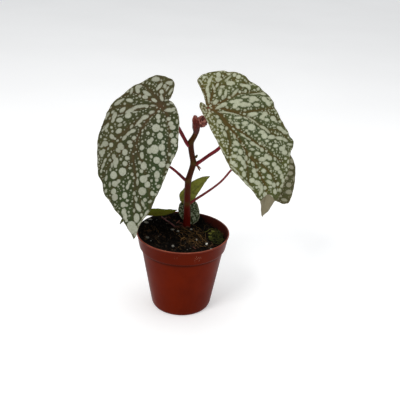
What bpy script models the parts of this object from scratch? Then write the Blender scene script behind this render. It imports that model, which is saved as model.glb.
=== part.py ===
"""A young spotted cane begonia in a round nursery pot.

Metres, +Z up. The origin is the centre of the pot's base, on the surface the pot
stands on, and -Y is the front. Lengths named *_MM are millimetres.

Every blade is first drawn flat: y runs down the blade from the point where the
stalk joins it to the tip, and x runs across it, positive to the right when the
upper side is seen with the tip down. The flat blade is then bent: it droops
along y and arches across x.
"""

import math

import bmesh
import bpy
import numpy as np
from mathutils import Vector

MM = 0.001
GAP = 0.3  # clearance between pieces that touch, in mm

# ---------------------------------------------------------------- pot and soil
POT_HEIGHT_MM = 74.0
RIM_RADIUS_MM = 42.5
COLLAR_FOOT_RADIUS_MM = 39.6
COLLAR_FOOT_Z_MM = 60.1
BODY_TOP_RADIUS_MM = 37.6
BODY_TOP_Z_MM = 58.5
BASE_RADIUS_MM = 26.0
WALL_MM = 1.2
FLOOR_MM = 2.8
RECESS_MM = 1.5
DRAIN_HOLES = 6
DRAIN_RADIUS_MM = 2.5
DRAIN_CIRCLE_MM = 14.5
TURN_STEPS = 56

SOIL_Z_MM = 66.0
SOIL_LEFT_RISE_MM = 6.4  # the mix is heaped up to the rim at the left and behind
SOIL_MOUND_MM = 3.6  # and around the foot of the stem
SOIL_BANK_Z_MM = 73.6  # height of the bank against the wall, left and back
SOIL_RADIUS_MM = 39.1

# ---------------------------------------------------------------- stem
STEM_X_MM = 2.8
STEM_Y_MM = 20.6
# x, z, radius; the swollen places are the nodes
STEM = (
    (2.8, 57.0, 2.5),
    (2.8, 64.0, 3.0),
    (2.7, 70.0, 3.15),
    (2.7, 80.0, 3.1),
    (2.8, 89.5, 2.95),
    (2.9, 92.6, 3.15),
    (3.0, 95.6, 2.85),
    (3.0, 105.0, 2.75),
    (3.1, 112.5, 2.8),
    (3.2, 115.4, 3.05),
    (4.0, 118.8, 2.75),
    (6.1, 126.2, 2.65),
    (7.1, 130.2, 2.8),
    (7.5, 133.0, 3.0),
    (6.9, 136.2, 2.7),
    (5.8, 141.5, 2.6),
    (4.6, 149.0, 2.65),
    (4.5, 152.4, 2.8),
    (6.0, 155.6, 2.45),
    (7.7, 159.5, 2.35),
    (8.6, 162.6, 2.3),
)

BLADE_MM = 0.8


def smooth(at, knots, values):
    """Values between knots on a smooth curve, level outside them."""
    at = np.asarray(at, float)
    knots = np.asarray(knots, float)
    values = np.asarray(values, float)
    slope = np.zeros(len(knots))
    rise = np.diff(values) / np.diff(knots)
    slope[1:-1] = (rise[1:] + rise[:-1]) / 2
    slope[0], slope[-1] = rise[0], rise[-1]
    i = np.clip(np.searchsorted(knots, at) - 1, 0, len(knots) - 2)
    run = knots[i + 1] - knots[i]
    u = np.clip((at - knots[i]) / run, 0, 1)
    return (
        (2 * u**3 - 3 * u**2 + 1) * values[i]
        + (u**3 - 2 * u**2 + u) * run * slope[i]
        + (3 * u**2 - 2 * u**3) * values[i + 1]
        + (u**3 - u**2) * run * slope[i + 1]
    )


class Blade:
    """The bent surface of one leaf: call it with flat x and y in mm."""

    def __init__(self, spec):
        self.spec = spec
        self.joint = np.array(spec["joint"], float)
        turn, lift, roll = (math.radians(a) for a in spec["face"])
        up = np.array(
            [
                math.sin(turn) * math.cos(lift),
                -math.cos(turn) * math.cos(lift),
                math.sin(lift),
            ]
        )
        right = np.array([math.cos(turn), math.sin(turn), 0.0])
        down = np.cross(right, up)
        self.up = up
        self.down = down * math.cos(roll) + right * math.sin(roll)
        self.right = right * math.cos(roll) - down * math.sin(roll)
        y = np.linspace(-60, 190, 501)
        droop = np.array(spec["droop"], float)
        angle = np.radians(smooth(y, droop[:, 0], droop[:, 1]))
        middle = (angle[1:] + angle[:-1]) / 2
        along = np.append(0, np.cumsum(np.cos(middle))) * (y[1] - y[0])
        fall = np.append(0, np.cumsum(np.sin(middle))) * (y[1] - y[0])
        self.y = y
        self.angle = angle
        self.along = along - np.interp(0, y, along)
        self.fall = fall - np.interp(0, y, fall)

    def frame(self, x, y):
        x, y = np.broadcast_arrays(np.asarray(x, float), np.asarray(y, float))
        angle = np.interp(y, self.y, self.angle)[..., None]
        rib = (
            self.joint
            + np.interp(y, self.y, self.along)[..., None] * self.down
            - np.interp(y, self.y, self.fall)[..., None] * self.up
        )
        normal = np.sin(angle) * self.down + np.cos(angle) * self.up
        left = np.array(self.spec["arch_left"], float)
        right = np.array(self.spec["arch_right"], float)
        bend = np.where(
            x > 0,
            smooth(y, right[:, 0], right[:, 1]),
            smooth(y, left[:, 0], left[:, 1]),
        )
        bend = np.radians(np.where(np.abs(bend) < 1e-4, 1e-4, bend))
        swing = bend * np.abs(x)
        side = (np.sin(swing) / bend * np.sign(x))[..., None]
        drop = ((1 - np.cos(swing)) / bend)[..., None]
        point = rib + side * self.right - drop * normal
        turned = (
            np.cos(swing)[..., None] * normal
            + (np.sin(swing) * np.sign(x))[..., None] * self.right
        )
        return point, turned

    def __call__(self, x, y):
        return self.frame(x, y)[0]


# Each blade: where its stalk joins it (mm), which way its upper side faces there
# (turn from the front towards +X, lift, roll of the tip towards +X, in degrees),
# the droop angle along it (y, degrees), the arch of each half (y, degrees per mm)
# and the outline as stations (y, left x, right x) from the back lobes to the tip.
LEAVES = {
    "left": {
        "joint": (-21.6, -5.0, 193.2),
        "face": (-14, 42, -10),
        "droop": ((-60, -16), (-30, -9), (0, 0), (30, 14), (60, 24), (90, 31), (120, 35)),
        "arch_left": ((-60, 0.30), (0, 0.35), (50, 0.50), (120, 0.60)),
        "arch_right": ((-60, 0.40), (0, 0.40), (50, 0.50), (120, 0.60)),
        "stations": (
            (-26.0, -12.0, -3.0),
            (-22.0, -20.5, 3.2),
            (-16.0, -26.5, 4.6),
            (-8.0, -33.0, 5.0),
            (-3.0, -37.0, 11.0),
            (6.0, -42.5, 18.5),
            (15.0, -45.8, 22.0),
            (24.0, -47.8, 24.6),
            (34.0, -48.8, 26.0),
            (44.0, -48.2, 25.0),
            (56.0, -45.8, 23.2),
            (68.0, -41.0, 21.4),
            (80.0, -32.0, 18.6),
            (90.0, -23.0, 16.2),
            (100.0, -8.5, 12.3),
            (108.0, 0.5, 10.2),
            (115.8, 7.4, 8.6),
        ),
    },
    "right": {
        "joint": (17.9, -6.0, 192.7),
        "face": (8, 46, 26),
        "droop": ((-60, -22), (-30, -12), (0, 0), (30, 14), (60, 27), (90, 38), (120, 46)),
        "arch_left": ((-60, 0.35), (0, 0.45), (50, 0.60), (120, 0.60)),
        "arch_right": ((-60, 0.35), (0, 0.35), (50, 0.40), (120, 0.50)),
        "stations": (
            (-31.0, 10.5, 20.0),
            (-28.0, 6.0, 33.5),
            (-22.0, 4.2, 43.5),
            (-14.0, 2.4, 48.5),
            (-8.0, -1.0, 52.0),
            (-2.0, -6.8, 55.0),
            (8.0, -8.3, 58.6),
            (20.0, -8.6, 59.0),
            (34.0, -8.8, 59.2),
            (48.0, -8.4, 60.8),
            (58.0, -7.4, 61.6),
            (66.0, -3.6, 57.5),
            (76.0, 0.3, 48.5),
            (86.0, 3.6, 39.0),
            (94.0, 5.4, 29.0),
            (100.0, 5.4, 19.0),
            (106.0, 4.6, 6.0),
        ),
    },
    "back_right": {
        "joint": (47.9, 20.0, 134.4),
        "face": (12, 30, 55),
        "droop": ((-40, -8), (0, 0), (30, 10), (60, 16)),
        "arch_left": ((-40, 0.4), (0, 0.4), (60, 0.5)),
        "arch_right": ((-40, 0.4), (0, 0.4), (60, 0.5)),
        "stations": (
            (-13.0, 3.0, 9.0),
            (-9.0, -1.0, 18.0),
            (-2.0, -6.5, 25.5),
            (8.0, -8.0, 31.0),
            (20.0, -9.6, 34.5),
            (30.0, -10.4, 37.0),
            (40.0, -10.6, 38.8),
            (48.0, -9.4, 34.4),
            (54.0, -8.2, 27.0),
            (59.0, -6.8, 16.0),
            (62.4, -3.8, 3.0),
        ),
    },
    "back_left": {
        "joint": (-23.2, 11.0, 135.2),
        "face": (-25, 25, -18),
        "droop": ((-40, -8), (0, 0), (30, 14), (60, 22)),
        "arch_left": ((-40, 0.5), (0, 0.7), (60, 0.9)),
        "arch_right": ((-40, 0.5), (0, 0.7), (60, 0.9)),
        "stations": (
            (-11.0, -6.0, -1.0),
            (-8.0, -11.0, 3.0),
            (-2.0, -14.0, 7.0),
            (8.0, -16.0, 10.0),
            (18.0, -15.0, 10.5),
            (28.0, -11.0, 8.5),
            (38.0, -4.5, 5.0),
            (46.0, 0.8, 2.2),
        ),
    },
    "young": {
        "joint": (1.8, 25.4, 96.2),
        "face": (-4, 14, 134),
        "droop": ((-10, 0), (0, 0), (15, 3), (32, 8)),
        "arch_left": ((-10, 1.2), (10, 1.8), (32, 2.0)),
        "arch_right": ((-10, 1.2), (10, 1.8), (32, 2.0)),
        "stations": (
            (-6.0, -2.0, 2.0),
            (-3.0, -6.4, 6.2),
            (2.0, -7.6, 7.6),
            (8.0, -5.6, 8.0),
            (14.0, -3.9, 7.8),
            (20.0, -2.0, 6.4),
            (26.0, -0.4, 3.9),
            (29.8, 0.2, 1.0),
        ),
    },
    "small": {
        "joint": (4.6, 30.4, 87.0),
        "face": (6, 16, 0),
        "droop": ((-10, -6), (0, 0), (24, 8)),
        "arch_left": ((-10, 1.6), (24, 2.0)),
        "arch_right": ((-10, 1.6), (24, 2.0)),
        "stations": (
            (-4.8, -3.0, 3.0),
            (-2.6, -7.0, 7.0),
            (3.0, -9.8, 9.8),
            (9.0, -9.4, 11.2),
            (13.5, -7.0, 10.8),
            (17.0, -2.8, 9.2),
            (19.0, 2.4, 6.0),
        ),
    },
    "low": {
        "joint": (-20.8, 12.0, 85.8),
        "face": (0, 100, -70),
        "droop": ((-30, -6), (0, 0), (20, 4), (32, 16), (42, 64)),
        "arch_left": ((-30, 0.3), (0, 0.4), (42, 0.8)),
        "arch_right": ((-30, 4.5), (0, 6.0), (20, 4.0), (42, 4.0)),
        "stations": (
            (-19.4, -11.4, -9.2),
            (-15.0, -14.6, -4.4),
            (-8.0, -17.4, 1.8),
            (-2.0, -18.8, 5.2),
            (6.0, -19.0, 5.0),
            (14.0, -17.4, 3.6),
            (22.0, -13.4, 4.0),
            (32.0, -7.4, 4.0),
            (41.0, -1.4, 1.2),
        ),
    },
}

# Each stalk: radius at the stem and at the blade, and the points it passes
# through (x, y, z in mm) from the stem to just under its blade.
STALKS = {
    "left": {
        "radius": (1.4, 1.1),
        "points": ((0.1, 19.3, 153.2), (-1.4, 18.6, 156.4), (-5.4, 16.5, 164.2), (-8.8, 13.5, 171.0), (-13.4, 8.0, 180.5)),
    },
    "right": {
        "radius": (1.45, 1.15),
        "points": ((12.6, 20.6, 133.8), (20.4, 20.0, 140.2), (29.7, 18.5, 148.2), (34.0, 14.5, 157.0), (32.5, 8.5, 170.0), (26.0, 3.0, 181.5)),
    },
    "back_right": {
        "radius": (0.9, 0.7),
        "points": ((8.4, 20.9, 94.8), (10.9, 20.9, 96.8), (18.0, 20.9, 102.1), (28.2, 21.0, 110.3), (34.5, 21.4, 116.3), (41.6, 23.0, 125.2)),
    },
    "back_left": {
        "radius": (1.15, 0.85),
        "points": ((-0.9, 20.2, 117.5), (-6.2, 19.0, 123.0), (-13.0, 17.0, 129.2), (-18.5, 15.4, 132.6)),
    },
    "young": {
        "radius": (0.8, 0.65),
        "points": ((3.3, 24.5, 86.6), (3.0, 26.8, 87.6), (2.5, 28.6, 90.6)),
    },
    "small": {
        "radius": (0.8, 0.6),
        "points": ((5.7, 34.1, 73.0), (5.7, 34.2, 76.2), (5.4, 34.0, 80.0)),
    },
    "low": {
        "radius": (0.9, 0.7),
        "points": ((-8.2, 17.6, 72.7), (-12.0, 17.2, 75.2), (-15.8, 15.6, 78.6)),
    },
}


# ---------------------------------------------------------------- helpers
def clear_scene():
    for obj in list(bpy.data.objects):
        bpy.data.objects.remove(obj, do_unlink=True)


def new_collection(name):
    found = bpy.data.collections.new(name)
    bpy.context.scene.collection.children.link(found)
    return found


def material(name, colour, roughness, metallic=0.0):
    made = bpy.data.materials.new(name)
    made.use_nodes = True
    shader = made.node_tree.nodes["Principled BSDF"]
    shader.inputs["Base Color"].default_value = (*colour, 1)
    shader.inputs["Roughness"].default_value = roughness
    shader.inputs["Metallic"].default_value = metallic
    made.diffuse_color = (*colour, 1)
    return made


def move_to(obj, collection, mat=None):
    for old in list(obj.users_collection):
        old.objects.unlink(obj)
    collection.objects.link(obj)
    if mat is not None:
        obj.data.materials.clear()
        obj.data.materials.append(mat)
    return obj


def mesh_object(name, mesh, collection, mat):
    obj = bpy.data.objects.new(name, mesh)
    collection.objects.link(obj)
    mesh.materials.append(mat)
    return obj


def turned(name, profile, collection, mat, steps=TURN_STEPS):
    """A profile of (radius, height) in mm, down its outer side, turned about Z."""
    mesh = bpy.data.meshes.new(name)
    points = [(r * MM, 0.0, z * MM) for r, z in profile]
    mesh.from_pydata(points, [(i, i + 1) for i in range(len(points) - 1)], [])
    obj = mesh_object(name, mesh, collection, mat)
    screw = obj.modifiers.new("turn", "SCREW")
    screw.axis = "Z"
    screw.steps = screw.render_steps = steps
    screw.use_merge_vertices = True
    screw.merge_threshold = 0.00001
    screw.use_smooth_shade = True
    return obj


def spline_points(points, per_mm=3.0):
    """Points on a smooth curve through the given ones, about per_mm apart."""
    points = np.asarray(points, float)
    length = np.append(0, np.cumsum(np.linalg.norm(np.diff(points[:, :3], axis=0), axis=1)))
    count = max(3, int(round(length[-1] / per_mm)) + 1)
    at = np.linspace(0, length[-1], count)
    return np.stack([smooth(at, length, points[:, k]) for k in range(points.shape[1])], 1)


def tube(name, points, collection, mat, sides=2):
    """A tube through points (x, y, z, radius) in mm, with filled caps."""
    curve = bpy.data.curves.new(name, "CURVE")
    curve.dimensions = "3D"
    curve.bevel_depth = 0.001
    curve.bevel_resolution = sides
    curve.use_fill_caps = True
    curve.twist_mode = "MINIMUM"
    line = curve.splines.new("POLY")
    line.points.add(len(points) - 1)
    for target, (x, y, z, r) in zip(line.points, points):
        target.co = (x * MM, y * MM, z * MM, 1)
        target.radius = r
    line.use_smooth = True
    curve.materials.append(mat)
    obj = bpy.data.objects.new(name, curve)
    collection.objects.link(obj)
    return obj


def apply_mesh(obj):
    """The object as an ordinary mesh, its caps welded."""
    graph = bpy.context.evaluated_depsgraph_get()
    mesh = bpy.data.meshes.new_from_object(obj.evaluated_get(graph))
    made = bmesh.new()
    made.from_mesh(mesh)
    bmesh.ops.remove_doubles(made, verts=made.verts, dist=0.000002)
    made.to_mesh(mesh)
    made.free()
    name, matrix = obj.name, obj.matrix_world.copy()
    collection = obj.users_collection[0]
    mat = obj.data.materials[0]
    bpy.data.objects.remove(obj, do_unlink=True)
    result = bpy.data.objects.new(name, mesh)
    result.matrix_world = matrix
    if not mesh.materials:
        mesh.materials.append(mat)
    collection.objects.link(result)
    return result


def blade_object(name, spec, collection, mat, across, along):
    """A grid laid over the flat outline, bent to the leaf's form, then given thickness."""
    surface = Blade(spec)
    stations = np.array(spec["stations"], float)
    bpy.ops.mesh.primitive_grid_add(x_subdivisions=across, y_subdivisions=along, size=2)
    obj = bpy.context.object
    obj.name = name
    move_to(obj, collection, mat)
    for vertex in obj.data.vertices:
        u = vertex.co.x  # -1 at the left margin, 1 at the right
        v = (vertex.co.y + 1) / 2  # 0 at the back lobes, 1 at the tip
        y = stations[0, 0] + (stations[-1, 0] - stations[0, 0]) * v
        low = smooth(y, stations[:, 0], stations[:, 1])
        high = smooth(y, stations[:, 0], stations[:, 2])
        x = low + (high - low) * (u + 1) / 2
        vertex.co = Vector(surface(x, y) * MM)
    # The grid's own normals point at +Z; here +x, +y (down the blade) and the
    # upper side are a left-handed set, so the faces are turned over.
    turn = bmesh.new()
    turn.from_mesh(obj.data)
    bmesh.ops.reverse_faces(turn, faces=turn.faces)
    turn.to_mesh(obj.data)
    turn.free()
    skin = obj.modifiers.new("thickness", "SOLIDIFY")
    skin.thickness = BLADE_MM * MM
    skin.offset = -1
    obj.data.shade_smooth()
    return obj, surface


def ease(u):
    """A smooth step from 0 to 1."""
    u = min(max(u, 0.0), 1.0)
    return u * u * (3 - 2 * u)


def soil_height(x, y):
    """Height of the soil's surface, in mm: heaped at the left, behind and round the stem."""
    left = min(max((8.0 - x + 0.02 * max(y, 0.0) * max(-x, 0.0)) / 42.0, 0.0), 1.0)
    away = (x - STEM_X_MM) ** 2 + (y - STEM_Y_MM) ** 2
    rear = min(max((x + y - 22.0) / 34.0, 0.0), 1.0)
    height = (
        SOIL_Z_MM
        + SOIL_LEFT_RISE_MM * left * left * (3 - 2 * left)
        + SOIL_MOUND_MM * math.exp(-away / (2 * 8.5**2))
        - 0.7 * rear
    )
    # a bank against the wall, from the left side round the back, nearly up to the lip
    rise = ease((math.hypot(x, y) - 31.0) / 7.5) * ease((y + 8.0) / 14.0)
    bank = rise * (0.8 * ease((23.0 - x) / 7.0) + 0.2 * ease((32.0 - x) / 8.0))
    return height + max(SOIL_BANK_Z_MM - height, 0.0) * bank


def blob(name, centre, half, tilt, collection, mat, across=14, up=9):
    """A closed rounded lump with the given half lengths in mm, tilted (degrees)."""
    bpy.ops.mesh.primitive_uv_sphere_add(segments=across, ring_count=up, radius=MM)
    obj = bpy.context.object
    obj.name = name
    move_to(obj, collection, mat)
    for vertex in obj.data.vertices:
        vertex.co = Vector([c * h for c, h in zip(vertex.co, half)])
    obj.rotation_euler = [math.radians(a) for a in tilt]
    obj.location = [c * MM for c in centre]
    obj.data.shade_smooth()
    return obj


# ---------------------------------------------------------------- build
def build():
    clear_scene()
    parts = new_collection("potted_begonia")
    cutters = new_collection("cutters")
    cutters.hide_render = True

    terracotta = material("terracotta_plastic", (0.36, 0.075, 0.035), 0.42)
    peat = material("peat_soil", (0.018, 0.013, 0.010), 0.95)
    cane = material("cane_stem", (0.135, 0.030, 0.020), 0.42)
    stalk = material("red_stalk", (0.22, 0.014, 0.022), 0.38)
    blade = material("spotted_leaf", (0.10, 0.13, 0.05), 0.45)
    green = material("young_leaf", (0.22, 0.30, 0.06), 0.42)
    bud = material("pink_bud", (0.42, 0.10, 0.10), 0.6)
    sheath = material("dark_sheath", (0.10, 0.018, 0.016), 0.5)
    straw = material("dry_sheath", (0.20, 0.09, 0.04), 0.8)
    moss = material("moss", (0.13, 0.18, 0.03), 0.95)

    # Pot: up the inner wall, over the lip, down the outer wall, across the base.
    # The base rests on a centre pad and an outer ring, with a recess between.
    wall = WALL_MM
    profile = (
        (0.0, FLOOR_MM),
        (BASE_RADIUS_MM + 0.4, FLOOR_MM),
        (BODY_TOP_RADIUS_MM - wall, BODY_TOP_Z_MM + 0.2),
        (COLLAR_FOOT_RADIUS_MM - wall - 1.0, COLLAR_FOOT_Z_MM - 0.4),
        (COLLAR_FOOT_RADIUS_MM - wall, COLLAR_FOOT_Z_MM + 0.6),
        (RIM_RADIUS_MM - wall - 0.7, POT_HEIGHT_MM - 1.6),
        (RIM_RADIUS_MM - wall - 0.2, POT_HEIGHT_MM - 0.4),
        (RIM_RADIUS_MM - wall + 0.3, POT_HEIGHT_MM),
        (RIM_RADIUS_MM - 0.4, POT_HEIGHT_MM),
        (RIM_RADIUS_MM, POT_HEIGHT_MM - 0.4),
        (RIM_RADIUS_MM - 0.1, POT_HEIGHT_MM - 1.2),
        (RIM_RADIUS_MM - 0.7, POT_HEIGHT_MM - 1.7),
        (COLLAR_FOOT_RADIUS_MM + 0.3, COLLAR_FOOT_Z_MM + 1.4),
        (COLLAR_FOOT_RADIUS_MM, COLLAR_FOOT_Z_MM),
        (COLLAR_FOOT_RADIUS_MM - 1.2, BODY_TOP_Z_MM + 0.6),
        (BODY_TOP_RADIUS_MM, BODY_TOP_Z_MM),
        (BASE_RADIUS_MM + 2.0, 3.0),
        (BASE_RADIUS_MM + 0.9, 0.5),
        (BASE_RADIUS_MM, 0.0),
        (BASE_RADIUS_MM - 3.0, 0.0),
        (BASE_RADIUS_MM - 4.0, RECESS_MM),
        (9.0, RECESS_MM),
        (8.0, 0.0),
        (0.0, 0.0),
    )
    pot = turned("pot", profile, parts, terracotta)
    for k in range(DRAIN_HOLES):
        turn = 2 * math.pi * (k + 0.5) / DRAIN_HOLES
        bpy.ops.mesh.primitive_cylinder_add(
            vertices=16,
            radius=DRAIN_RADIUS_MM * MM,
            depth=8 * MM,
            location=(
                DRAIN_CIRCLE_MM * MM * math.cos(turn),
                DRAIN_CIRCLE_MM * MM * math.sin(turn),
                2 * MM,
            ),
        )
        drill = bpy.context.object
        drill.name = f"drain_drill_{k + 1}"
        drill.display_type = "WIRE"
        drill.hide_render = True
        move_to(drill, cutters)
        cut = pot.modifiers.new(f"drain_{k + 1}", "BOOLEAN")
        cut.operation = "DIFFERENCE"
        cut.solver = "EXACT"
        cut.object = drill

    # Soil: a turned plug that keeps clear of the wall, its top face gently uneven.
    gap = GAP + 0.05
    plug = (
        (0.0, SOIL_Z_MM),
        (9.0, SOIL_Z_MM),
        (18.0, SOIL_Z_MM),
        (27.0, SOIL_Z_MM),
        (30.0, SOIL_Z_MM),
        (34.5, SOIL_Z_MM),
        (SOIL_RADIUS_MM - 0.6, SOIL_Z_MM - 0.2),
        (COLLAR_FOOT_RADIUS_MM - wall - gap, COLLAR_FOOT_Z_MM + 0.9),
        (BODY_TOP_RADIUS_MM - wall - gap, BODY_TOP_Z_MM + 0.4),
        (BASE_RADIUS_MM + 0.4 - gap, FLOOR_MM + gap),
        (0.0, FLOOR_MM + gap),
    )
    soil = apply_mesh(turned("soil", plug, parts, peat, 40))
    for vertex in soil.data.vertices:
        x, y, z = (c / MM for c in vertex.co)
        if z > SOIL_Z_MM - 1:
            radius = math.hypot(x, y)
            z = z + soil_height(x, y) - SOIL_Z_MM
            if radius < 36:
                z += 0.45 * math.sin(x * 0.21 + 1.0) * math.sin(y * 0.17 + 0.4)
            vertex.co.z = z * MM
    socket_r = 3.9
    bpy.ops.mesh.primitive_cylinder_add(
        vertices=20,
        radius=socket_r * MM,
        depth=30 * MM,
        location=(STEM_X_MM * MM, STEM_Y_MM * MM, (STEM[0][1] - 0.4 + 15) * MM),
    )
    socket = bpy.context.object
    socket.name = "stem_socket"
    socket.display_type = "WIRE"
    socket.hide_render = True
    move_to(socket, cutters)
    cut = soil.modifiers.new("socket", "BOOLEAN")
    cut.operation = "DIFFERENCE"
    cut.solver = "EXACT"
    cut.object = socket
    soil.data.shade_smooth()

    # Main stem
    line = [(x, STEM_Y_MM, z, r) for x, z, r in STEM]
    tube("main_stem", spline_points(line, 3.0), parts, cane, 3)

    # Leaves and their stalks
    looks = {
        "left": (blade, 12, 26),
        "right": (blade, 12, 26),
        "back_right": (blade, 8, 14),
        "back_left": (blade, 7, 11),
        "young": (green, 6, 9),
        "small": (blade, 6, 8),
        "low": (green, 6, 10),
    }
    for key, spec in LEAVES.items():
        mat, across, along = looks[key]
        _, surface = blade_object(f"leaf_{key}", spec, parts, mat, across, along)
        run = STALKS[key]
        start, end = run["radius"]
        foot, up = surface.frame(0.0, 0.0)
        under = [foot - up * (BLADE_MM + reach) for reach in (3.2, GAP + 0.06)]
        path = np.array([*run["points"], *under], float)
        path = spline_points(path, 3.4 if start > 1 else 2.8)
        radius = np.linspace(start, end, len(path))
        # the stalk swells a little where it leaves the stem
        radius[0] *= 1.12
        tube(f"petiole_{key}", np.column_stack([path, radius]), parts, stalk, 2)

    # The growing tip: a hooded sheath, the crumpled new leaf beside it and a
    # second, narrow sheath in front of that.
    blob("bud_stipule", (8.2, 19.8, 170.9), (3.2, 2.7, 6.9), (0, -8, 0), parts, sheath)
    blob("bud_leaf", (14.8, 22.6, 172.0), (3.5, 3.3, 4.8), (0, 6, 0), parts, bud)
    blob("bud_stipule_front", (13.7, 18.4, 175.0), (1.0, 0.7, 3.3), (-8, 16, 0), parts, sheath, 10, 7)

    # A dried sheath hanging at the third node and a bud above it
    blob("dry_stipule", (13.3, 18.2, 129.0), (0.8, 0.6, 2.6), (0, -12, 0), parts, straw, 10, 7)
    blob("side_bud", (11.0, 20.6, 139.6), (0.9, 0.8, 1.7), (0, 16, 0), parts, green, 10, 7)

    # Moss on the soil: a flattened dome that follows the surface below it
    clump = blob("moss_clump", (27.0, 4.5, 0.0), (5.2, 4.6, 2.6), (0, 0, 0), parts, moss, 18, 10)
    for vertex in clump.data.vertices:
        x = vertex.co.x / MM + 27.0
        y = vertex.co.y / MM + 4.5
        z = vertex.co.z / MM
        vertex.co.z = (soil_height(x, y) + GAP + 0.6 + (z if z > 0 else z * 0.02)) * MM
    return parts


build()
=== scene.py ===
"""Looks of the potted begonia: leaves, stalks, stem, growing tip, soil and pot.

Metres, +Z up, the origin under the middle of the pot, -Y the front. Leaf
coordinates are flat ones in millimetres: y runs down the blade from the point
where the stalk joins it, x across it, to the right when the upper side is seen
with the tip down. Each leaf is cut out flat and then bent over its surface.
"""

import math
import random

import bmesh
import bpy
import numpy as np
from mathutils import Matrix, Vector, noise
from mathutils.geometry import delaunay_2d_cdt


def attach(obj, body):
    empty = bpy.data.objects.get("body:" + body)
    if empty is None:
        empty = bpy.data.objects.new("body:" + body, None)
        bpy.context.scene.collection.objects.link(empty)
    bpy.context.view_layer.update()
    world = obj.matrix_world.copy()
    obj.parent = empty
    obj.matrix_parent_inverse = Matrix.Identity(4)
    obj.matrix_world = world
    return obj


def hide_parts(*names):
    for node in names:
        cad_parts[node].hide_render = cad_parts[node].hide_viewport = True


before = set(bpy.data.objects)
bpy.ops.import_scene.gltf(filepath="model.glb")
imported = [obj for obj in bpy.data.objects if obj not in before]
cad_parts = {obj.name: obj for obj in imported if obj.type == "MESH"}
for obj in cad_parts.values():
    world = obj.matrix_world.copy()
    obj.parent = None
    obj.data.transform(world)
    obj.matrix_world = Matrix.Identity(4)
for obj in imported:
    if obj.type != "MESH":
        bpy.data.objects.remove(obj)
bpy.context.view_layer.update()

MM = 0.001
FINE = 1.0

# ------------------------------------------------------------------ camera
EYE = np.array([0.0, -0.51861, 0.33370])
EYE_RIGHT = np.array([0.999188, -0.010494, 0.038909])
EYE_UP = np.array([-0.031373, 0.403441, 0.914468])
EYE_AHEAD = np.array([0.025294, 0.914945, -0.402784])
FOCAL_PX = 633.22  # for a picture 400 pixels wide


def picture(points):
    """Where points in mm fall in the 400 x 400 picture."""
    away = np.asarray(points, float) * MM - EYE
    depth = away @ EYE_AHEAD
    return np.stack(
        [
            200 + FOCAL_PX * (away @ EYE_RIGHT) / depth,
            200 - FOCAL_PX * (away @ EYE_UP) / depth,
        ],
        -1,
    )


def make_camera():
    data = bpy.data.cameras.new("camera")
    data.sensor_width = 36.0
    data.lens = FOCAL_PX * 36.0 / 400.0
    data.clip_start = 0.01
    data.clip_end = 20.0
    camera = bpy.data.objects.new("camera", data)
    bpy.context.scene.collection.objects.link(camera)
    turn = Matrix(
        [
            [EYE_RIGHT[k], EYE_UP[k], -EYE_AHEAD[k]]
            for k in range(3)
        ]
    )
    camera.matrix_world = Matrix.Translation(Vector(EYE)) @ turn.to_4x4()
    bpy.context.scene.camera = camera


# ------------------------------------------------------------------ sizes, as in the CAD
POT_HEIGHT_MM = 74.0
RIM_RADIUS_MM = 42.5
COLLAR_FOOT_RADIUS_MM = 39.6
COLLAR_FOOT_Z_MM = 60.1
BODY_TOP_RADIUS_MM = 37.6
BODY_TOP_Z_MM = 58.5
BASE_RADIUS_MM = 26.0
WALL_MM = 1.2
FLOOR_MM = 2.8
RECESS_MM = 1.5
SOIL_Z_MM = 66.0
SOIL_LEFT_RISE_MM = 6.4
SOIL_MOUND_MM = 3.6
SOIL_BANK_Z_MM = 73.6
SOIL_RADIUS_MM = 39.1
STEM_X_MM = 2.8
STEM_Y_MM = 20.6
STEM = (
    (2.8, 57.0, 2.55),
    (3.1, 64.0, 3.4),
    (3.3, 70.0, 3.5),
    (3.3, 80.0, 3.35),
    (3.1, 89.5, 3.1),
    (3.0, 92.6, 3.25),
    (3.0, 95.6, 3.0),
    (3.0, 105.0, 2.9),
    (3.1, 112.5, 2.85),
    (3.2, 115.4, 3.1),
    (4.0, 118.8, 2.8),
    (6.1, 126.2, 2.7),
    (7.1, 130.2, 2.85),
    (7.5, 133.0, 3.05),
    (6.9, 136.2, 2.75),
    (5.8, 141.5, 2.65),
    (4.6, 149.0, 2.7),
    (4.5, 152.4, 2.85),
    (6.1, 155.6, 2.5),
    (8.1, 159.5, 2.35),
    (8.9, 163.0, 2.4),
    (9.0, 166.5, 2.4),
)

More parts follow.
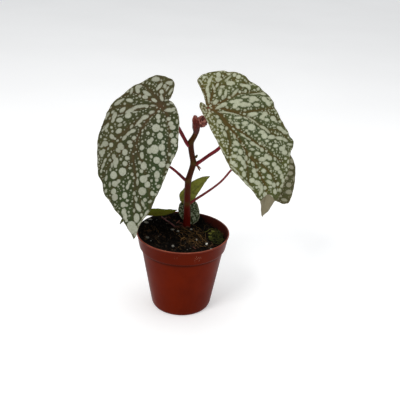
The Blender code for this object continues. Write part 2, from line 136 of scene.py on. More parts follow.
LEAVES = {
    "left": {
        "joint": (-21.6, -5.0, 193.2),
        "face": (-14, 42, -10),
        "droop": ((-60, -16), (-30, -9), (0, 0), (30, 14), (60, 24), (90, 31), (120, 35)),
        "arch_left": ((-60, 0.30), (0, 0.35), (50, 0.50), (120, 0.60)),
        "arch_right": ((-60, 0.40), (0, 0.40), (50, 0.50), (120, 0.60)),
    },
    "right": {
        "joint": (17.9, -6.0, 192.7),
        "face": (8, 46, 26),
        "droop": ((-60, -22), (-30, -12), (0, 0), (30, 14), (60, 27), (90, 38), (120, 46)),
        "arch_left": ((-60, 0.35), (0, 0.45), (50, 0.60), (120, 0.60)),
        "arch_right": ((-60, 0.35), (0, 0.35), (50, 0.40), (120, 0.50)),
    },
    "back_right": {
        "joint": (47.9, 20.0, 134.4),
        "face": (12, 30, 55),
        "droop": ((-40, -8), (0, 0), (30, 10), (60, 16)),
        "arch_left": ((-40, 0.4), (0, 0.4), (60, 0.5)),
        "arch_right": ((-40, 0.4), (0, 0.4), (60, 0.5)),
        "stations": (
            (-13.0, 3.0, 9.0),
            (-9.0, -1.0, 18.0),
            (-2.0, -6.5, 25.5),
            (8.0, -8.0, 31.0),
            (20.0, -9.6, 34.5),
            (30.0, -10.4, 37.0),
            (40.0, -10.6, 38.8),
            (48.0, -9.4, 34.4),
            (54.0, -8.2, 27.0),
            (59.0, -6.8, 16.0),
            (62.4, -3.8, 3.0),
        ),
    },
    "back_left": {
        "joint": (-23.2, 11.0, 135.2),
        "face": (-25, 25, -18),
        "droop": ((-40, -8), (0, 0), (30, 14), (60, 22)),
        "arch_left": ((-40, 0.5), (0, 0.7), (60, 0.9)),
        "arch_right": ((-40, 0.5), (0, 0.7), (60, 0.9)),
        "stations": (
            (-11.0, -6.0, -1.0),
            (-8.0, -11.0, 3.0),
            (-2.0, -14.0, 7.0),
            (8.0, -16.0, 10.0),
            (18.0, -15.0, 10.5),
            (28.0, -11.0, 8.5),
            (38.0, -4.5, 5.0),
            (46.0, 0.8, 2.2),
        ),
    },
    "young": {
        "joint": (1.8, 25.4, 96.2),
        "face": (-4, 14, 134),
        "droop": ((-10, 0), (0, 0), (15, 3), (32, 8)),
        "arch_left": ((-10, 1.2), (10, 1.8), (32, 2.0)),
        "arch_right": ((-10, 1.2), (10, 1.8), (32, 2.0)),
        "stations": (
            (-6.0, -2.0, 2.0),
            (-3.0, -6.4, 6.2),
            (2.0, -7.6, 7.6),
            (8.0, -5.6, 8.0),
            (14.0, -3.9, 7.8),
            (20.0, -2.0, 6.4),
            (26.0, -0.4, 3.9),
            (29.8, 0.2, 1.0),
        ),
    },
    "small": {
        "joint": (4.6, 30.4, 87.0),
        "face": (6, 16, 0),
        "droop": ((-10, -6), (0, 0), (24, 8)),
        "arch_left": ((-10, 1.6), (24, 2.0)),
        "arch_right": ((-10, 1.6), (24, 2.0)),
        "stations": (
            (-4.8, -3.0, 3.0),
            (-2.6, -7.0, 7.0),
            (3.0, -9.8, 9.8),
            (9.0, -9.4, 11.2),
            (13.5, -7.0, 10.8),
            (17.0, -2.8, 9.2),
            (19.0, 2.4, 6.0),
        ),
    },
    "low": {
        "joint": (-20.8, 12.0, 85.8),
        "face": (0, 100, -70),
        "droop": ((-30, -6), (0, 0), (20, 4), (32, 16), (42, 64)),
        "arch_left": ((-30, 0.3), (0, 0.4), (42, 0.8)),
        "arch_right": ((-30, 4.5), (0, 6.0), (20, 4.0), (42, 4.0)),
        "stations": (
            (-19.4, -11.4, -9.2),
            (-15.0, -14.6, -4.4),
            (-8.0, -17.4, 1.8),
            (-2.0, -18.8, 5.2),
            (6.0, -19.0, 5.0),
            (14.0, -17.4, 3.6),
            (22.0, -13.4, 4.0),
            (32.0, -7.4, 4.0),
            (41.0, -1.4, 1.2),
        ),
    },
}

STALKS = {
    "left": {
        "radius": (1.7, 1.5),
        "points": ((3.0, 20.3, 149.4), (1.4, 19.8, 151.2), (-1.4, 18.6, 156.4), (-5.4, 16.5, 164.2), (-8.8, 13.5, 171.0), (-13.4, 8.0, 180.5)),
    },
    "right": {
        "radius": (1.7, 1.35),
        "points": ((7.8, 20.7, 130.8), (12.1, 20.6, 133.4), (20.4, 20.0, 140.2), (29.7, 18.5, 148.2), (34.0, 14.5, 157.0), (32.5, 8.5, 170.0), (26.0, 3.0, 181.5)),
    },
    "back_right": {
        "radius": (1.2, 0.9),
        "points": ((4.2, 20.8, 91.2), (7.0, 20.9, 93.7), (10.9, 20.9, 96.8), (18.0, 20.9, 102.1), (28.2, 21.0, 110.3), (34.5, 21.4, 116.3), (41.6, 23.0, 125.2)),
    },
    "back_left": {
        "radius": (1.4, 1.1),
        "points": ((2.0, 20.6, 115.0), (-0.9, 20.2, 117.5), (-6.2, 19.0, 123.0), (-13.0, 17.0, 129.2), (-18.5, 15.4, 132.6)),
    },
    "young": {
        "radius": (0.85, 0.7),
        "points": ((3.3, 22.0, 86.0), (3.3, 24.5, 86.6), (3.0, 26.8, 87.6), (2.5, 28.6, 90.6)),
    },
    "small": {
        "radius": (0.85, 0.65),
        "points": ((5.6, 33.0, 64.8), (5.6, 33.4, 68.8), (5.8, 34.2, 74.0), (5.4, 34.0, 80.0)),
    },
    "low": {
        "radius": (0.8, 0.6),
        "points": ((-5.4, 17.2, 67.4), (-8.4, 17.0, 70.2), (-12.4, 16.2, 73.9), (-16.6, 14.9, 77.5), (-20.0, 13.4, 80.9)),
    },
}

# Outlines of the two big leaves, from the notch round the blade; the first point
# is the bottom of the notch and "tip" the index of the pointed end.
OUTLINES = {
    "left": {
        "tip": 38,
        "points": (
            (4.6, -5.6), (5.6, -9), (5.4, -16), (3.2, -22.6), (-1, -26), (-7, -26.6), (-13, -26), (-20, -22),
            (-26, -16), (-31, -10), (-37, -3), (-41, 4), (-45, 12), (-47, 22), (-49, 33),
            (-48, 44), (-46, 55), (-43, 63), (-38, 74), (-32, 80), (-28, 86), (-23, 90),
            (-18, 93), (-13, 97), (-8, 100), (-3, 105), (1, 109), (5, 113), (6.2, 114.4),
            (6.9, 115.2), (7.3, 115.8), (7.6, 116.3), (7.8, 116.7), (7.9, 117.0), (8.0, 117.2),
            (8.05, 117.35), (8.1, 117.45), (8.12, 117.5), (8.15, 117.6), (9.2, 115.6), (10, 111), (10.2, 107),
            (12, 100), (16, 92), (18, 85), (19, 78), (21, 71), (22, 64), (23, 56), (24, 48),
            (25, 42), (26, 37), (26, 30), (24, 23), (22, 15), (19, 7), (15, 1), (10, -4), (6.4, -5.4),
        ),
    },
    "right": {
        "tip": 45,
        "points": (
            (-0.6, -3.2), (0.8, -7), (2.6, -14), (4, -21), (5.4, -27), (8, -30), (12, -31.2), (19, -31), (26, -29.6),
            (35, -28), (42, -24), (45.6, -19), (49, -13), (53, -6), (57, 2), (59, 9), (59, 17),
            (58.6, 24), (59.4, 32), (60.2, 41), (61.2, 53), (63, 60), (60, 64), (55, 67), (51, 72),
            (43, 82), (36, 89), (29, 94), (25, 97.6), (21, 98.6), (18, 99.8), (15.4, 101.8), (13, 103.6),
            (10.6, 104.8), (8.4, 105.6), (7.2, 106.0), (6.4, 106.3), (5.9, 106.5), (5.6, 106.6), (5.4, 106.7), (5.3, 106.75),
            (5.25, 106.8), (5.2, 106.84), (5.17, 106.87), (5.15, 106.9), (5.1, 107.0), (4.9, 104.6), (5, 101), (6, 93),
            (4, 87), (2, 79), (-2, 70), (-5, 63), (-8.4, 56), (-8.6, 49), (-9, 41), (-9, 34),
            (-8.6, 28), (-8.8, 20), (-8.4, 12), (-8, 5), (-7.2, -1), (-5.6, -5.4), (-3.6, -6.6), (-2.2, -5.4),
        ),
    },
}

# Veins: points from the stalk outwards, width in mm near the stalk and at the end
VEINS = {
    "left": (
        ((1, -1), (-1, 5), (-6, 15), (-9, 28), (-9, 37), (-9, 47), (-7, 53), (-2, 65), (0, 74), (3, 88), (6, 102), (8, 116), 2.1, 0.7),
        ((0, 0), (-6, -11), (-10.5, -24), 1.5, 0.6),
        ((0, 0), (-0.6, -12), (-2.5, -24), 1.4, 0.6),
        ((0, 0), (-13, -9.5), (-25, -15), 1.5, 0.6),
        ((0, 0), (-17, -3), (-28, -5), (-38, 0), 1.6, 0.6),
        ((0, 0), (-17, 8), (-35, 18), (-49, 33), 1.9, 0.6),
        ((-4, 10), (-18, 24), (-32, 42), (-44, 60), 1.7, 0.6),
        ((0, 0), (8, 7), (15, 20), (20, 38), (22, 56), 1.5, 0.6),
        ((-9, 32), (-20, 47), (-31, 66), (-34, 77), 1.3, 0.5),
        ((-8, 50), (-14, 64), (-20, 80), (-21, 90), 1.2, 0.5),
        ((-9, 40), (1, 52), (11, 68), (17, 86), 1.2, 0.5),
        ((-3, 62), (3, 73), (9, 88), (12, 99), 1.0, 0.4),
        ((-35, 18), (-44, 22), (-48, 30), 0.8, 0.4),
        ((-18, 24), (-28, 46), (-38, 66), 0.9, 0.4),
        ((-17, 8), (-32, 9), (-44, 14), 0.9, 0.4),
    ),
    "right": (
        ((0, 0), (6, 10), (7, 20), (8, 28), (10, 38), (11, 48), (13, 54), (14, 63), (15, 72), (15, 85), (10, 95), (5, 106), 2.3, 0.8),
        ((0, 0), (4, -11), (6, -19), (8.5, -28), 1.7, 0.7),
        ((0, 0), (9, -9), (18, -17), (27, -22), (37, -26), 1.9, 0.7),
        ((0, 0), (16, 0), (33, -1.5), (55, 4), 1.9, 0.7),
        ((0, 0), (12, 7), (22, 15), (44, 20), (59, 23), 1.8, 0.7),
        ((13, 9), (26, 21), (31, 27), (39, 39), (47, 50), 1.5, 0.6),
        ((7, 20), (13, 28), (20, 40), (26, 49), (32, 59), (41, 70), 1.7, 0.7),
        ((0, 0), (5, 10), (4, 25), (0, 37), (-7, 48), 1.5, 0.6),
        ((11, 48), (6, 60), (2, 74), 1.1, 0.5),
        ((12, 52), (20, 64), (26, 78), (28, 90), 1.2, 0.5),
        ((44, 20), (54, 30), (60, 44), 0.8, 0.4),
        ((39, 39), (50, 44), (58, 54), 0.8, 0.4),
        ((33, -1.5), (44, -10), (50, -10), 0.8, 0.4),
        ((18, -17), (26, -14), (40, -18), 0.8, 0.4),
    ),
}

# Spots seen on the leaves, placed on an eleven-fold enlargement of the
# view: centre, half length, half width, tilt of the long axis (degrees, clockwise
# from level) and how pale the spot is.
SPOT_CORNERS = {"left": (110.0, 58.0), "right": (190.0, 58.0), "back_right": (190.0, 58.0)}
SPOT_ZOOM = 11.0
SPOTS = {
    "left": (
        (505, 238, 46, 26, -10, 0.7), (548, 306, 44, 20, -52, 0.75), (520, 340, 20, 14, -60, 0.7),
        (567, 372, 25, 24, 0, 0.85), (562, 410, 12, 12, 0, 0.7), (567, 440, 33, 19, 72, 0.9), (485, 463, 32, 18, 22, 1.0),
        (400, 388, 46, 22, 35, 0.75), (386, 428, 32, 24, 0, 0.8), (428, 402, 28, 16, 30, 0.75),
        (316, 318, 42, 24, -35, 0.65), (305, 358, 30, 24, 60, 0.7), (236, 364, 40, 15, -68, 0.6),
        (330, 420, 15, 21, 0, 0.6), (220, 470, 42, 20, 12, 0.95), (262, 415, 9, 8, 0, 0.6),
        (405, 470, 14, 7, 0, 0.6), (300, 485, 12, 7, 0, 0.5), (653, 268, 40, 22, -8, 0.7),
        (668, 290, 22, 12, 0, 0.6), (632, 335, 32, 12, -56, 0.8), (668, 374, 46, 14, -54, 0.75),
        (618, 463, 22, 11, -10, 0.65), (470, 520, 32, 10, 0, 0.7), (330, 532, 92, 15, -8, 0.75),
        (400, 530, 24, 18, 0, 0.85), (272, 548, 34, 16, -20, 0.75), (214, 582, 52, 22, -24, 0.75), (202, 634, 38, 30, -20, 0.85),
        (275, 594, 36, 11, -5, 0.7), (140, 570, 42, 19, -40, 0.75), (110, 685, 36, 26, -12, 0.85),
        (50, 640, 48, 22, -62, 0.6), (36, 690, 26, 20, -50, 0.6), (96, 488, 58, 19, -36, 0.6), (140, 458, 22, 16, -40, 0.65),
        (38, 598, 22, 11, -45, 0.65), (455, 595, 34, 15, -25, 0.7), (318, 702, 62, 19, -46, 0.8),
        (380, 650, 48, 22, -24, 0.85), (325, 742, 24, 15, 10, 0.95), (172, 735, 19, 8, -45, 0.5),
        (232, 752, 27, 14, -60, 0.6), (20, 765, 14, 15, 0, 0.9), (98, 804, 38, 22, -36, 0.8),
        (250, 804, 36, 22, -20, 0.8), (205, 830, 38, 20, -40, 0.65), (158, 878, 36, 22, -48, 0.6),
        (390, 770, 10, 16, 0, 0.7), (535, 585, 17, 15, 0, 0.9), (655, 572, 58, 21, 2, 0.7), (704, 556, 22, 14, 0, 0.7),
        (530, 645, 28, 31, 0, 0.85), (535, 694, 20, 22, 0, 0.85), (645, 665, 26, 23, 0, 0.85), (601, 640, 8, 8, 0, 0.7),
        (668, 722, 30, 29, 0, 0.9), (690, 765, 35, 28, 0, 0.9), (460, 730, 13, 13, 0, 0.7), (510, 772, 45, 44, 0, 0.95),
        (570, 790, 21, 19, 0, 0.8), (420, 830, 20, 20, 0, 0.85), (553, 858, 32, 37, 0, 1.0), (500, 872, 6, 6, 0, 0.9),
        (265, 880, 25, 21, -30, 0.85), (675, 850, 28, 25, 0, 0.9), (747, 860, 20, 27, 0, 0.8), (437, 925, 28, 31, 0, 0.85),
        (462, 898, 21, 23, 0, 0.85), (585, 925, 20, 19, 0, 0.9), (216, 926, 29, 19, -10, 0.75), (226, 965, 27, 24, 0, 0.8),
        (702, 914, 35, 33, 0, 1.0), (722, 960, 19, 19, 0, 0.9), (680, 965, 10, 10, 0, 0.9), (695, 998, 11, 11, 0, 0.95),
        (22, 865, 24, 30, -30, 0.6), (50, 886, 13, 12, 0, 0.75), (10, 955, 24, 27, 0, 0.9), (118, 972, 34, 42, -30, 0.5),
        (90, 1015, 24, 28, -30, 0.45), (165, 1036, 34, 36, 0, 0.8), (355, 990, 31, 24, -60, 0.85), (352, 1072, 23, 39, 0, 0.95),
        (490, 1005, 48, 50, 0, 1.0), (437, 1022, 28, 34, 0, 0.75), (570, 985, 37, 38, 0, 0.95), (585, 1050, 24, 24, 0, 0.95),
        (456, 1085, 17, 19, 0, 0.8), (515, 1125, 37, 39, 0, 1.0), (586, 1117, 13, 13, 0, 0.8), (573, 1172, 38, 33, 0, 1.0),
        (594, 1145, 16, 16, 0, 0.9), (255, 1055, 9, 8, 0, 1.0), (281, 1035, 12, 7, -30, 0.9), (655, 1060, 21, 19, 0, 0.95),
        (688, 1088, 18, 34, 20, 0.75), (672, 1124, 14, 22, 20, 0.75), (192, 1100, 25, 22, 0, 0.8), (44, 1088, 20, 34, 0, 0.5),
        (66, 1140, 33, 44, 10, 0.7), (66, 1190, 18, 18, 0, 0.7), (166, 1160, 25, 29, 0, 0.8), (125, 1115, 15, 17, 0, 0.8), (325, 1150, 18, 19, 0, 0.85),
        (370, 1186, 35, 44, 0, 0.95), (345, 1245, 19, 21, 0, 0.85), (640, 1190, 25, 30, 0, 0.85), (481, 1215, 21, 21, 0, 0.9),
        (218, 1211, 17, 15, 0, 0.75), (291, 1222, 14, 14, 0, 0.6), (137, 1252, 40, 45, 0, 1.0), (42, 1288, 35, 44, 10, 0.95),
        (240, 1280, 14, 18, 0, 0.85), (301, 1286, 17, 24, 0, 0.7), (519, 1284, 31, 42, 0, 0.9), (517, 1342, 21, 20, 0, 0.85),
        (598, 1316, 15, 26, 30, 0.9), (621, 1255, 14, 14, 0, 0.85), (368, 1332, 42, 40, 0, 0.95), (412, 1392, 32, 35, 0, 0.95),
        (408, 1298, 34, 16, -20, 0.85), (52, 1384, 34, 34, 0, 0.85), (88, 1358, 30, 22, -40, 0.75), (218, 1366, 26, 17, -66, 0.85),
        (198, 1416, 32, 18, -70, 0.8), (92, 1414, 12, 12, 0, 0.6), (355, 1465, 45, 45, 0, 0.7), (508, 1382, 12, 12, 0, 0.85),
        (535, 1412, 26, 20, -20, 0.8), (40, 1468, 31, 34, 0, 0.85), (56, 1530, 34, 40, 0, 0.6), (166, 1510, 29, 37, 0, 0.9),
        (156, 1450, 11, 12, 0, 0.7), (300, 1364, 15, 38, 0, 0.5), (466, 1490, 25, 28, 0, 1.0), (503, 1500, 22, 14, -20, 0.85),
        (525, 1468, 11, 9, 0, 0.8), (194, 1566, 18, 15, 0, 0.85), (266, 1490, 17, 21, 0, 0.65), (286, 1550, 31, 18, 75, 0.65),
        (386, 1560, 21, 23, 0, 0.7), (440, 1580, 26, 15, -38, 0.75), (148, 1612, 27, 32, 0, 0.85), (186, 1620, 17, 17, 0, 0.85),
        (308, 1642, 54, 25, 62, 0.95), (155, 1690, 25, 38, 10, 0.9), (168, 1742, 24, 40, 0, 0.9), (181, 1786, 17, 19, 0, 0.95),
        (206, 1694, 12, 11, 0, 0.8), (212, 1735, 12, 11, 0, 0.8), (362, 1604, 36, 17, 68, 0.65), (388, 1650, 18, 12, -50, 0.6),
        (291, 1760, 34, 50, 0, 0.95), (346, 1728, 14, 22, 0, 0.9), (235, 1840, 48, 44, 20, 0.85), (272, 1880, 36, 40, 0, 0.85),
        (404, 1700, 34, 15, -52, 0.85), (374, 1752, 36, 14, -52, 0.85), (332, 1820, 38, 18, -52, 0.8), (262, 1680, 12, 22, 0, 0.6),
        (235, 1900, 44, 36, 40, 0.75), (288, 1946, 30, 26, 0, 0.7), (225, 1955, 30, 18, 40, 0.7), (120, 1830, 12, 8, 0, 0.5),
        (62, 1612, 14, 10, 40, 0.6), (24, 1180, 16, 30, 0, 0.5), (8, 1228, 12, 20, 0, 0.6), (738, 700, 14, 26, 0, 0.7),
        (745, 602, 12, 12, 0, 0.7), (760, 756, 10, 20, 0, 0.7), (756, 806, 9, 12, 0, 0.8), (712, 600, 20, 10, -30, 0.6),
        (400, 1116, 10, 9, 0, 0.9), (410, 1216, 7, 8, 0, 0.8), (286, 962, 11, 8, 0, 0.5), (395, 900, 8, 11, 0, 0.5),
        (104, 1072, 10, 10, 0, 0.9), (215, 1160, 6, 6, 0, 0.8), (232, 1454, 10, 9, 0, 0.6), (330, 594, 9, 7, 0, 0.7),
        (406, 236, 16, 10, -30, 0.5), (472, 296, 12, 9, 0, 0.5), (404, 270, 14, 8, -40, 0.5), (260, 510, 10, 6, 0, 0.5),
        (566, 246, 10, 12, 0, 0.5), (200, 420, 10, 9, 0, 0.5), (60, 730, 9, 8, 0, 0.5), (14, 1028, 7, 7, 0, 0.8),
        (-22, 628, 34, 13, -50, 0.45), (-46, 660, 20, 13, -58, 0.5), (0, 667, 14, 7, -50, 0.5), (-36, 752, 44, 20, -60, 0.6),
        (-36, 800, 15, 17, 0, 0.6), (-76, 792, 24, 13, -50, 0.55), (-70, 755, 18, 7, -60, 0.45), (-95, 867, 12, 19, 0, 0.65),
        (-62, 847, 7, 7, 0, 0.7), (-50, 895, 20, 11, 0, 0.5), (-52, 944, 32, 30, -30, 0.5), (-82, 966, 28, 13, -40, 0.45),
        (-70, 1018, 18, 18, 0, 0.6), (-88, 1042, 34, 28, 0, 0.65), (-88, 1072, 20, 18, 0, 0.65), (-12, 1067, 22, 11, -60, 0.65),
        (15, 1030, 8, 8, 0, 0.95), (-115, 1115, 14, 15, 0, 0.7), (-55, 1128, 30, 14, -60, 0.7), (-78, 1184, 36, 17, -62, 0.6),
        (-95, 1242, 24, 12, -76, 0.6), (-97, 1302, 9, 10, 0, 0.6), (-38, 1256, 24, 8, -80, 0.5), (-38, 1322, 34, 16, -76, 0.6),
        (0, 1390, 32, 11, -86, 0.5), (-56, 1402, 20, 12, 80, 0.65), (-38, 1462, 24, 14, -76, 0.6), (5, 1512, 10, 8, 0, 0.6),
        (-20, 1550, 26, 10, 40, 0.6), (100, 1685, 14, 9, 60, 0.5), (-118, 960, 8, 20, 0, 0.4), (-128, 1080, 7, 16, 0, 0.4),
    ),
    "right": (
        (155, 220, 18, 14, 0, 1.0), (120, 255, 17, 9, 60, 0.95), (131, 281, 8, 8, 0, 0.9), (100, 240, 8, 7, 0, 0.8),
        (214, 258, 38, 19, -68, 0.7), (204, 300, 24, 12, -60, 0.7), (190, 352, 34, 18, 84, 0.7), (205, 405, 34, 19, 78, 0.75),
        (207, 456, 30, 12, 84, 0.65), (193, 320, 12, 12, 0, 0.7), (240, 215, 9, 9, 0, 0.8), (312, 192, 26, 26, 0, 0.8),
        (305, 236, 28, 20, 0, 0.85), (337, 226, 18, 14, 0, 0.75), (365, 190, 10, 10, 0, 0.95), (430, 176, 18, 18, 0, 0.85),
        (487, 191, 20, 17, 0, 0.95), (412, 165, 10, 9, 0, 0.7), (300, 293, 26, 13, -62, 0.95), (262, 320, 32, 13, 62, 0.7),
        (272, 365, 12, 9, 60, 0.6), (356, 316, 28, 20, -20, 0.65), (415, 232, 42, 9, -38, 0.65), (448, 278, 38, 28, 0, 0.75),
        (420, 272, 20, 24, 0, 0.75), (478, 290, 12, 12, 0, 0.7), (430, 336, 12, 12, 0, 0.85), (456, 303, 9, 9, 0, 0.9),
        (530, 216, 24, 20, 40, 0.9), (330, 384, 38, 19, -76, 0.6), (391, 396, 42, 15, -84, 0.75), (360, 436, 15, 19, 0, 0.7),
        (435, 430, 16, 13, 0, 0.9), (497, 378, 48, 14, -44, 0.7), (550, 370, 15, 13, 0, 1.0), (586, 371, 6, 6, 0, 0.9),
        (612, 362, 14, 14, 0, 1.0), (585, 300, 40, 17, 10, 0.8), (634, 316, 34, 20, 30, 0.8), (650, 334, 16, 14, 0, 0.75),
        (668, 295, 14, 10, 0, 0.6), (692, 290, 13, 12, 0, 0.8), (710, 348, 11, 9, 0, 0.95), (752, 340, 17, 14, 0, 0.9),
        (282, 482, 31, 19, -32, 0.8), (372, 512, 36, 22, -20, 0.8), (322, 535, 42, 15, -24, 0.75), (462, 486, 32, 18, 0, 0.8),
        (508, 486, 34, 26, 0, 0.85), (545, 474, 28, 14, 0, 0.8), (492, 532, 27, 26, 0, 0.85), (526, 514, 30, 20, 0, 0.8),
        (586, 520, 50, 27, 0, 0.75), (638, 520, 30, 20, 0, 0.75), (604, 436, 42, 14, -8, 0.65), (748, 386, 84, 9, -10, 0.7),
        (802, 396, 30, 16, 20, 0.65), (690, 452, 44, 28, 0, 0.8), (732, 466, 24, 14, 0, 0.8), (672, 482, 28, 16, 0, 0.8),
        (730, 520, 34, 19, 0, 0.75), (812, 460, 34, 24, 50, 0.8), (846, 496, 36, 22, 55, 0.85), (868, 450, 30, 10, 20, 0.6),
        (866, 520, 18, 12, 0, 0.8), (884, 496, 14, 12, 0, 0.85), (525, 566, 19, 9, 0, 0.7), (632, 471, 6, 6, 0, 0.9),
        (400, 598, 72, 10, 6, 0.75), (490, 618, 56, 9, 14, 0.65), (692, 618, 54, 24, -8, 0.95), (824, 614, 34, 27, -20, 0.8),
        (792, 648, 32, 20, -30, 0.8), (800, 672, 20, 12, 0, 0.75), (598, 616, 15, 11, 0, 0.85), (524, 662, 42, 14, -6, 0.95),
        (610, 664, 28, 14, 20, 0.75), (696, 684, 66, 9, 32, 0.65), (742, 716, 24, 8, 40, 0.65), (510, 722, 30, 11, 4, 0.9),
        (460, 712, 9, 8, 0, 0.9), (440, 655, 14, 11, 0, 0.9), (600, 720, 35, 19, -6, 0.8), (675, 764, 44, 36, 0, 0.95),
        (620, 800, 15, 11, 0, 0.8), (700, 810, 10, 8, 0, 0.9), (576, 764, 13, 12, 0, 0.75), (600, 744, 24, 9, 0, 0.7), (840, 685, 25, 17, 0, 0.95),
        (912, 668, 34, 32, 0, 0.85), (938, 702, 16, 14, 0, 0.8), (990, 700, 18, 16, 0, 0.85), (942, 605, 14, 11, 0, 0.8),
        (790, 815, 33, 22, 0, 0.85), (812, 860, 30, 33, 0, 0.9), (808, 762, 40, 15, 30, 0.65), (852, 802, 38, 13, 48, 0.6),
        (726, 855, 18, 11, 0, 0.85), (755, 822, 7, 7, 0, 0.9), (888, 873, 44, 23, -8, 0.95), (836, 915, 20, 14, 0, 0.9),
        (985, 778, 40, 17, 32, 0.75), (1030, 812, 30, 16, 42, 0.75), (916, 750, 18, 9, 0, 0.9), (880, 758, 7, 7, 0, 0.9), (978, 884, 42, 20, 8, 0.8),
        (1042, 902, 34, 20, 20, 0.8), (870, 950, 16, 13, 0, 0.9), (930, 969, 28, 18, 0, 1.0), (1006, 998, 34, 26, 0, 0.85),
        (1036, 1040, 31, 26, 0, 0.85), (1030, 970, 16, 16, 0, 0.8), (1092, 952, 28, 13, 10, 0.85), (1056, 828, 20, 11, 0, 0.8),
        (584, 852, 36, 15, 24, 0.75), (640, 884, 36, 13, 20, 0.75), (690, 940, 34, 24, 20, 0.85), (742, 968, 44, 14, 40, 0.75),
        (790, 1008, 22, 24, 0, 0.75), (606, 905, 8, 8, 0, 1.0), (680, 1006, 22, 12, 10, 0.9), (735, 1050, 30, 17, 6, 0.95),
        (792, 1114, 34, 24, 0, 0.85), (836, 1084, 28, 30, 0, 0.85), (870, 1100, 28, 28, 0, 0.85), (834, 1160, 32, 18, 10, 0.95),
        (776, 1150, 10, 9, 0, 0.95), (936, 1110, 18, 21, 0, 0.7), (996, 1135, 8, 8, 0, 0.8), (1046, 1106, 12, 12, 0, 0.9),
        (505, 942, 40, 24, 36, 0.75), (488, 862, 17, 31, -10, 0.6), (495, 1010, 24, 19, 0, 0.9), (550, 1034, 26, 31, -20, 0.9),
        (486, 1082, 28, 20, 20, 0.8), (540, 1106, 36, 26, 40, 0.8), (580, 1150, 26, 32, -20, 0.8), (606, 1192, 20, 26, 0, 0.9),
        (617, 1100, 19, 30, 0, 0.65), (560, 1220, 22, 21, 0, 0.95), (591, 1276, 25, 33, -10, 0.9), (466, 1154, 30, 22, 20, 0.9),
        (492, 1182, 26, 18, 30, 0.85), (450, 1120, 8, 8, 0, 0.9), (484, 1226, 58, 8, 44, 0.8), (550, 1310, 35, 13, 38, 0.8),
        (618, 1372, 42, 15, 42, 0.85), (668, 1424, 36, 12, 44, 0.85), (695, 1164, 28, 19, 62, 0.85), (706, 1240, 26, 30, 0, 0.75),
        (722, 1290, 28, 26, 0, 0.75), (746, 1232, 14, 12, 0, 0.7), (811, 1240, 26, 23, 0, 0.95), (770, 1206, 8, 8, 0, 0.9),
        (868, 1305, 34, 24, 34, 0.9), (916, 1170, 25, 24, 0, 0.8), (946, 1212, 32, 28, 20, 0.8), (976, 1256, 25, 20, 40, 0.8),
        (998, 1302, 20, 30, 0, 0.8), (1016, 1348, 18, 24, 0, 0.8), (684, 1346, 24, 27, 0, 0.9), (738, 1372, 38, 24, 20, 0.85),
        (756, 1416, 14, 20, 0, 0.8), (868, 1368, 38, 18, 36, 0.8), (918, 1396, 26, 27, 0, 0.8), (966, 1386, 14, 22, 0, 0.85),
        (826, 1430, 17, 21, 0, 0.9), (876, 1418, 16, 13, 0, 0.9), (782, 1436, 18, 48, 4, 0.8), (820, 1502, 25, 30, 0, 0.95),
        (926, 1466, 21, 31, 0, 0.75), (966, 1452, 9, 17, 0, 0.85), (880, 1528, 20, 22, 0, 0.7), (726, 1422, 13, 12, 0, 0.95),
        (762, 1482, 12, 28, 10, 0.8), (215, 612, 16, 14, 0, 0.6), (200, 640, 12, 19, -20, 0.6), (225, 690, 25, 8, 62, 0.65),
        (245, 762, 12, 11, 0, 0.95), (270, 730, 10, 9, 0, 0.9), (298, 650, 20, 20, 0, 0.65), (322, 702, 30, 26, 20, 0.7),
        (350, 762, 26, 19, 20, 0.75), (300, 742, 11, 22, -20, 0.65), (384, 836, 38, 20, 70, 0.65), (300, 820, 13, 11, 0, 0.9),
        (310, 912, 19, 11, 60, 0.95), (350, 902, 17, 13, 0, 0.85), (356, 934, 10, 9, 0, 0.8), (344, 1002, 32, 7, 60, 0.8),
        (400, 972, 15, 14, 0, 0.8), (416, 1050, 9, 9, 0, 0.8), (412, 1090, 12, 13, 0, 0.85), (372, 1040, 12, 7, 60, 0.8),
        (600, 248, 9, 8, 0, 0.9), (656, 276, 8, 8, 0, 0.9), (570, 235, 9, 8, 0, 0.85), (620, 256, 9, 7, 0, 0.8),
        (880, 600, 7, 7, 0, 0.9), (797, 576, 6, 6, 0, 1.0), (735, 560, 6, 5, 0, 0.9), (1010, 655, 9, 12, 0, 0.8),
        (408, 632, 7, 6, 0, 0.9), (458, 500, 8, 6, 0, 0.6), (350, 800, 12, 16, 0, 0.7), (404, 772, 15, 18, 0, 0.65),
        (330, 860, 14, 8, 50, 0.8), (270, 790, 9, 12, 0, 0.8), (240, 660, 9, 14, 0, 0.6), (180, 660, 6, 10, 0, 0.8),
        (236, 540, 10, 8, 0, 0.5), (140, 505, 8, 14, 0, 0.7), (132, 545, 7, 12, 0, 0.7), (160, 600, 8, 10, 0, 0.7),
        (590, 960, 10, 9, 0, 0.9), (600, 1020, 12, 15, 0, 0.6), (840, 1024, 12, 14, 0, 0.8), (660, 1060, 14, 24, 0, 0.5),
        (944, 1330, 7, 8, 0, 0.9), (920, 1040, 6, 6, 0, 0.9), (1040, 1180, 12, 20, 0, 0.85), (1046, 1230, 10, 16, 0, 0.85),
        (1010, 1400, 12, 24, 20, 0.8), (990, 1452, 10, 20, 20, 0.8), (1070, 1140, 10, 20, 10, 0.8), (1088, 1060, 10, 24, 6, 0.8),
    ),
    "back_right": (
        (1120, 1130, 22, 28, 0, 0.55), (1112, 1200, 30, 20, 40, 0.5), (1104, 1268, 32, 24, 0, 0.7), (1084, 1396, 32, 28, 0, 0.75),
        (1086, 1474, 36, 26, 0, 0.75), (1040, 1562, 34, 18, 10, 0.95), (1142, 1330, 10, 28, 0, 0.5), (1098, 1070, 14, 18, 0, 0.5),
    ),
}


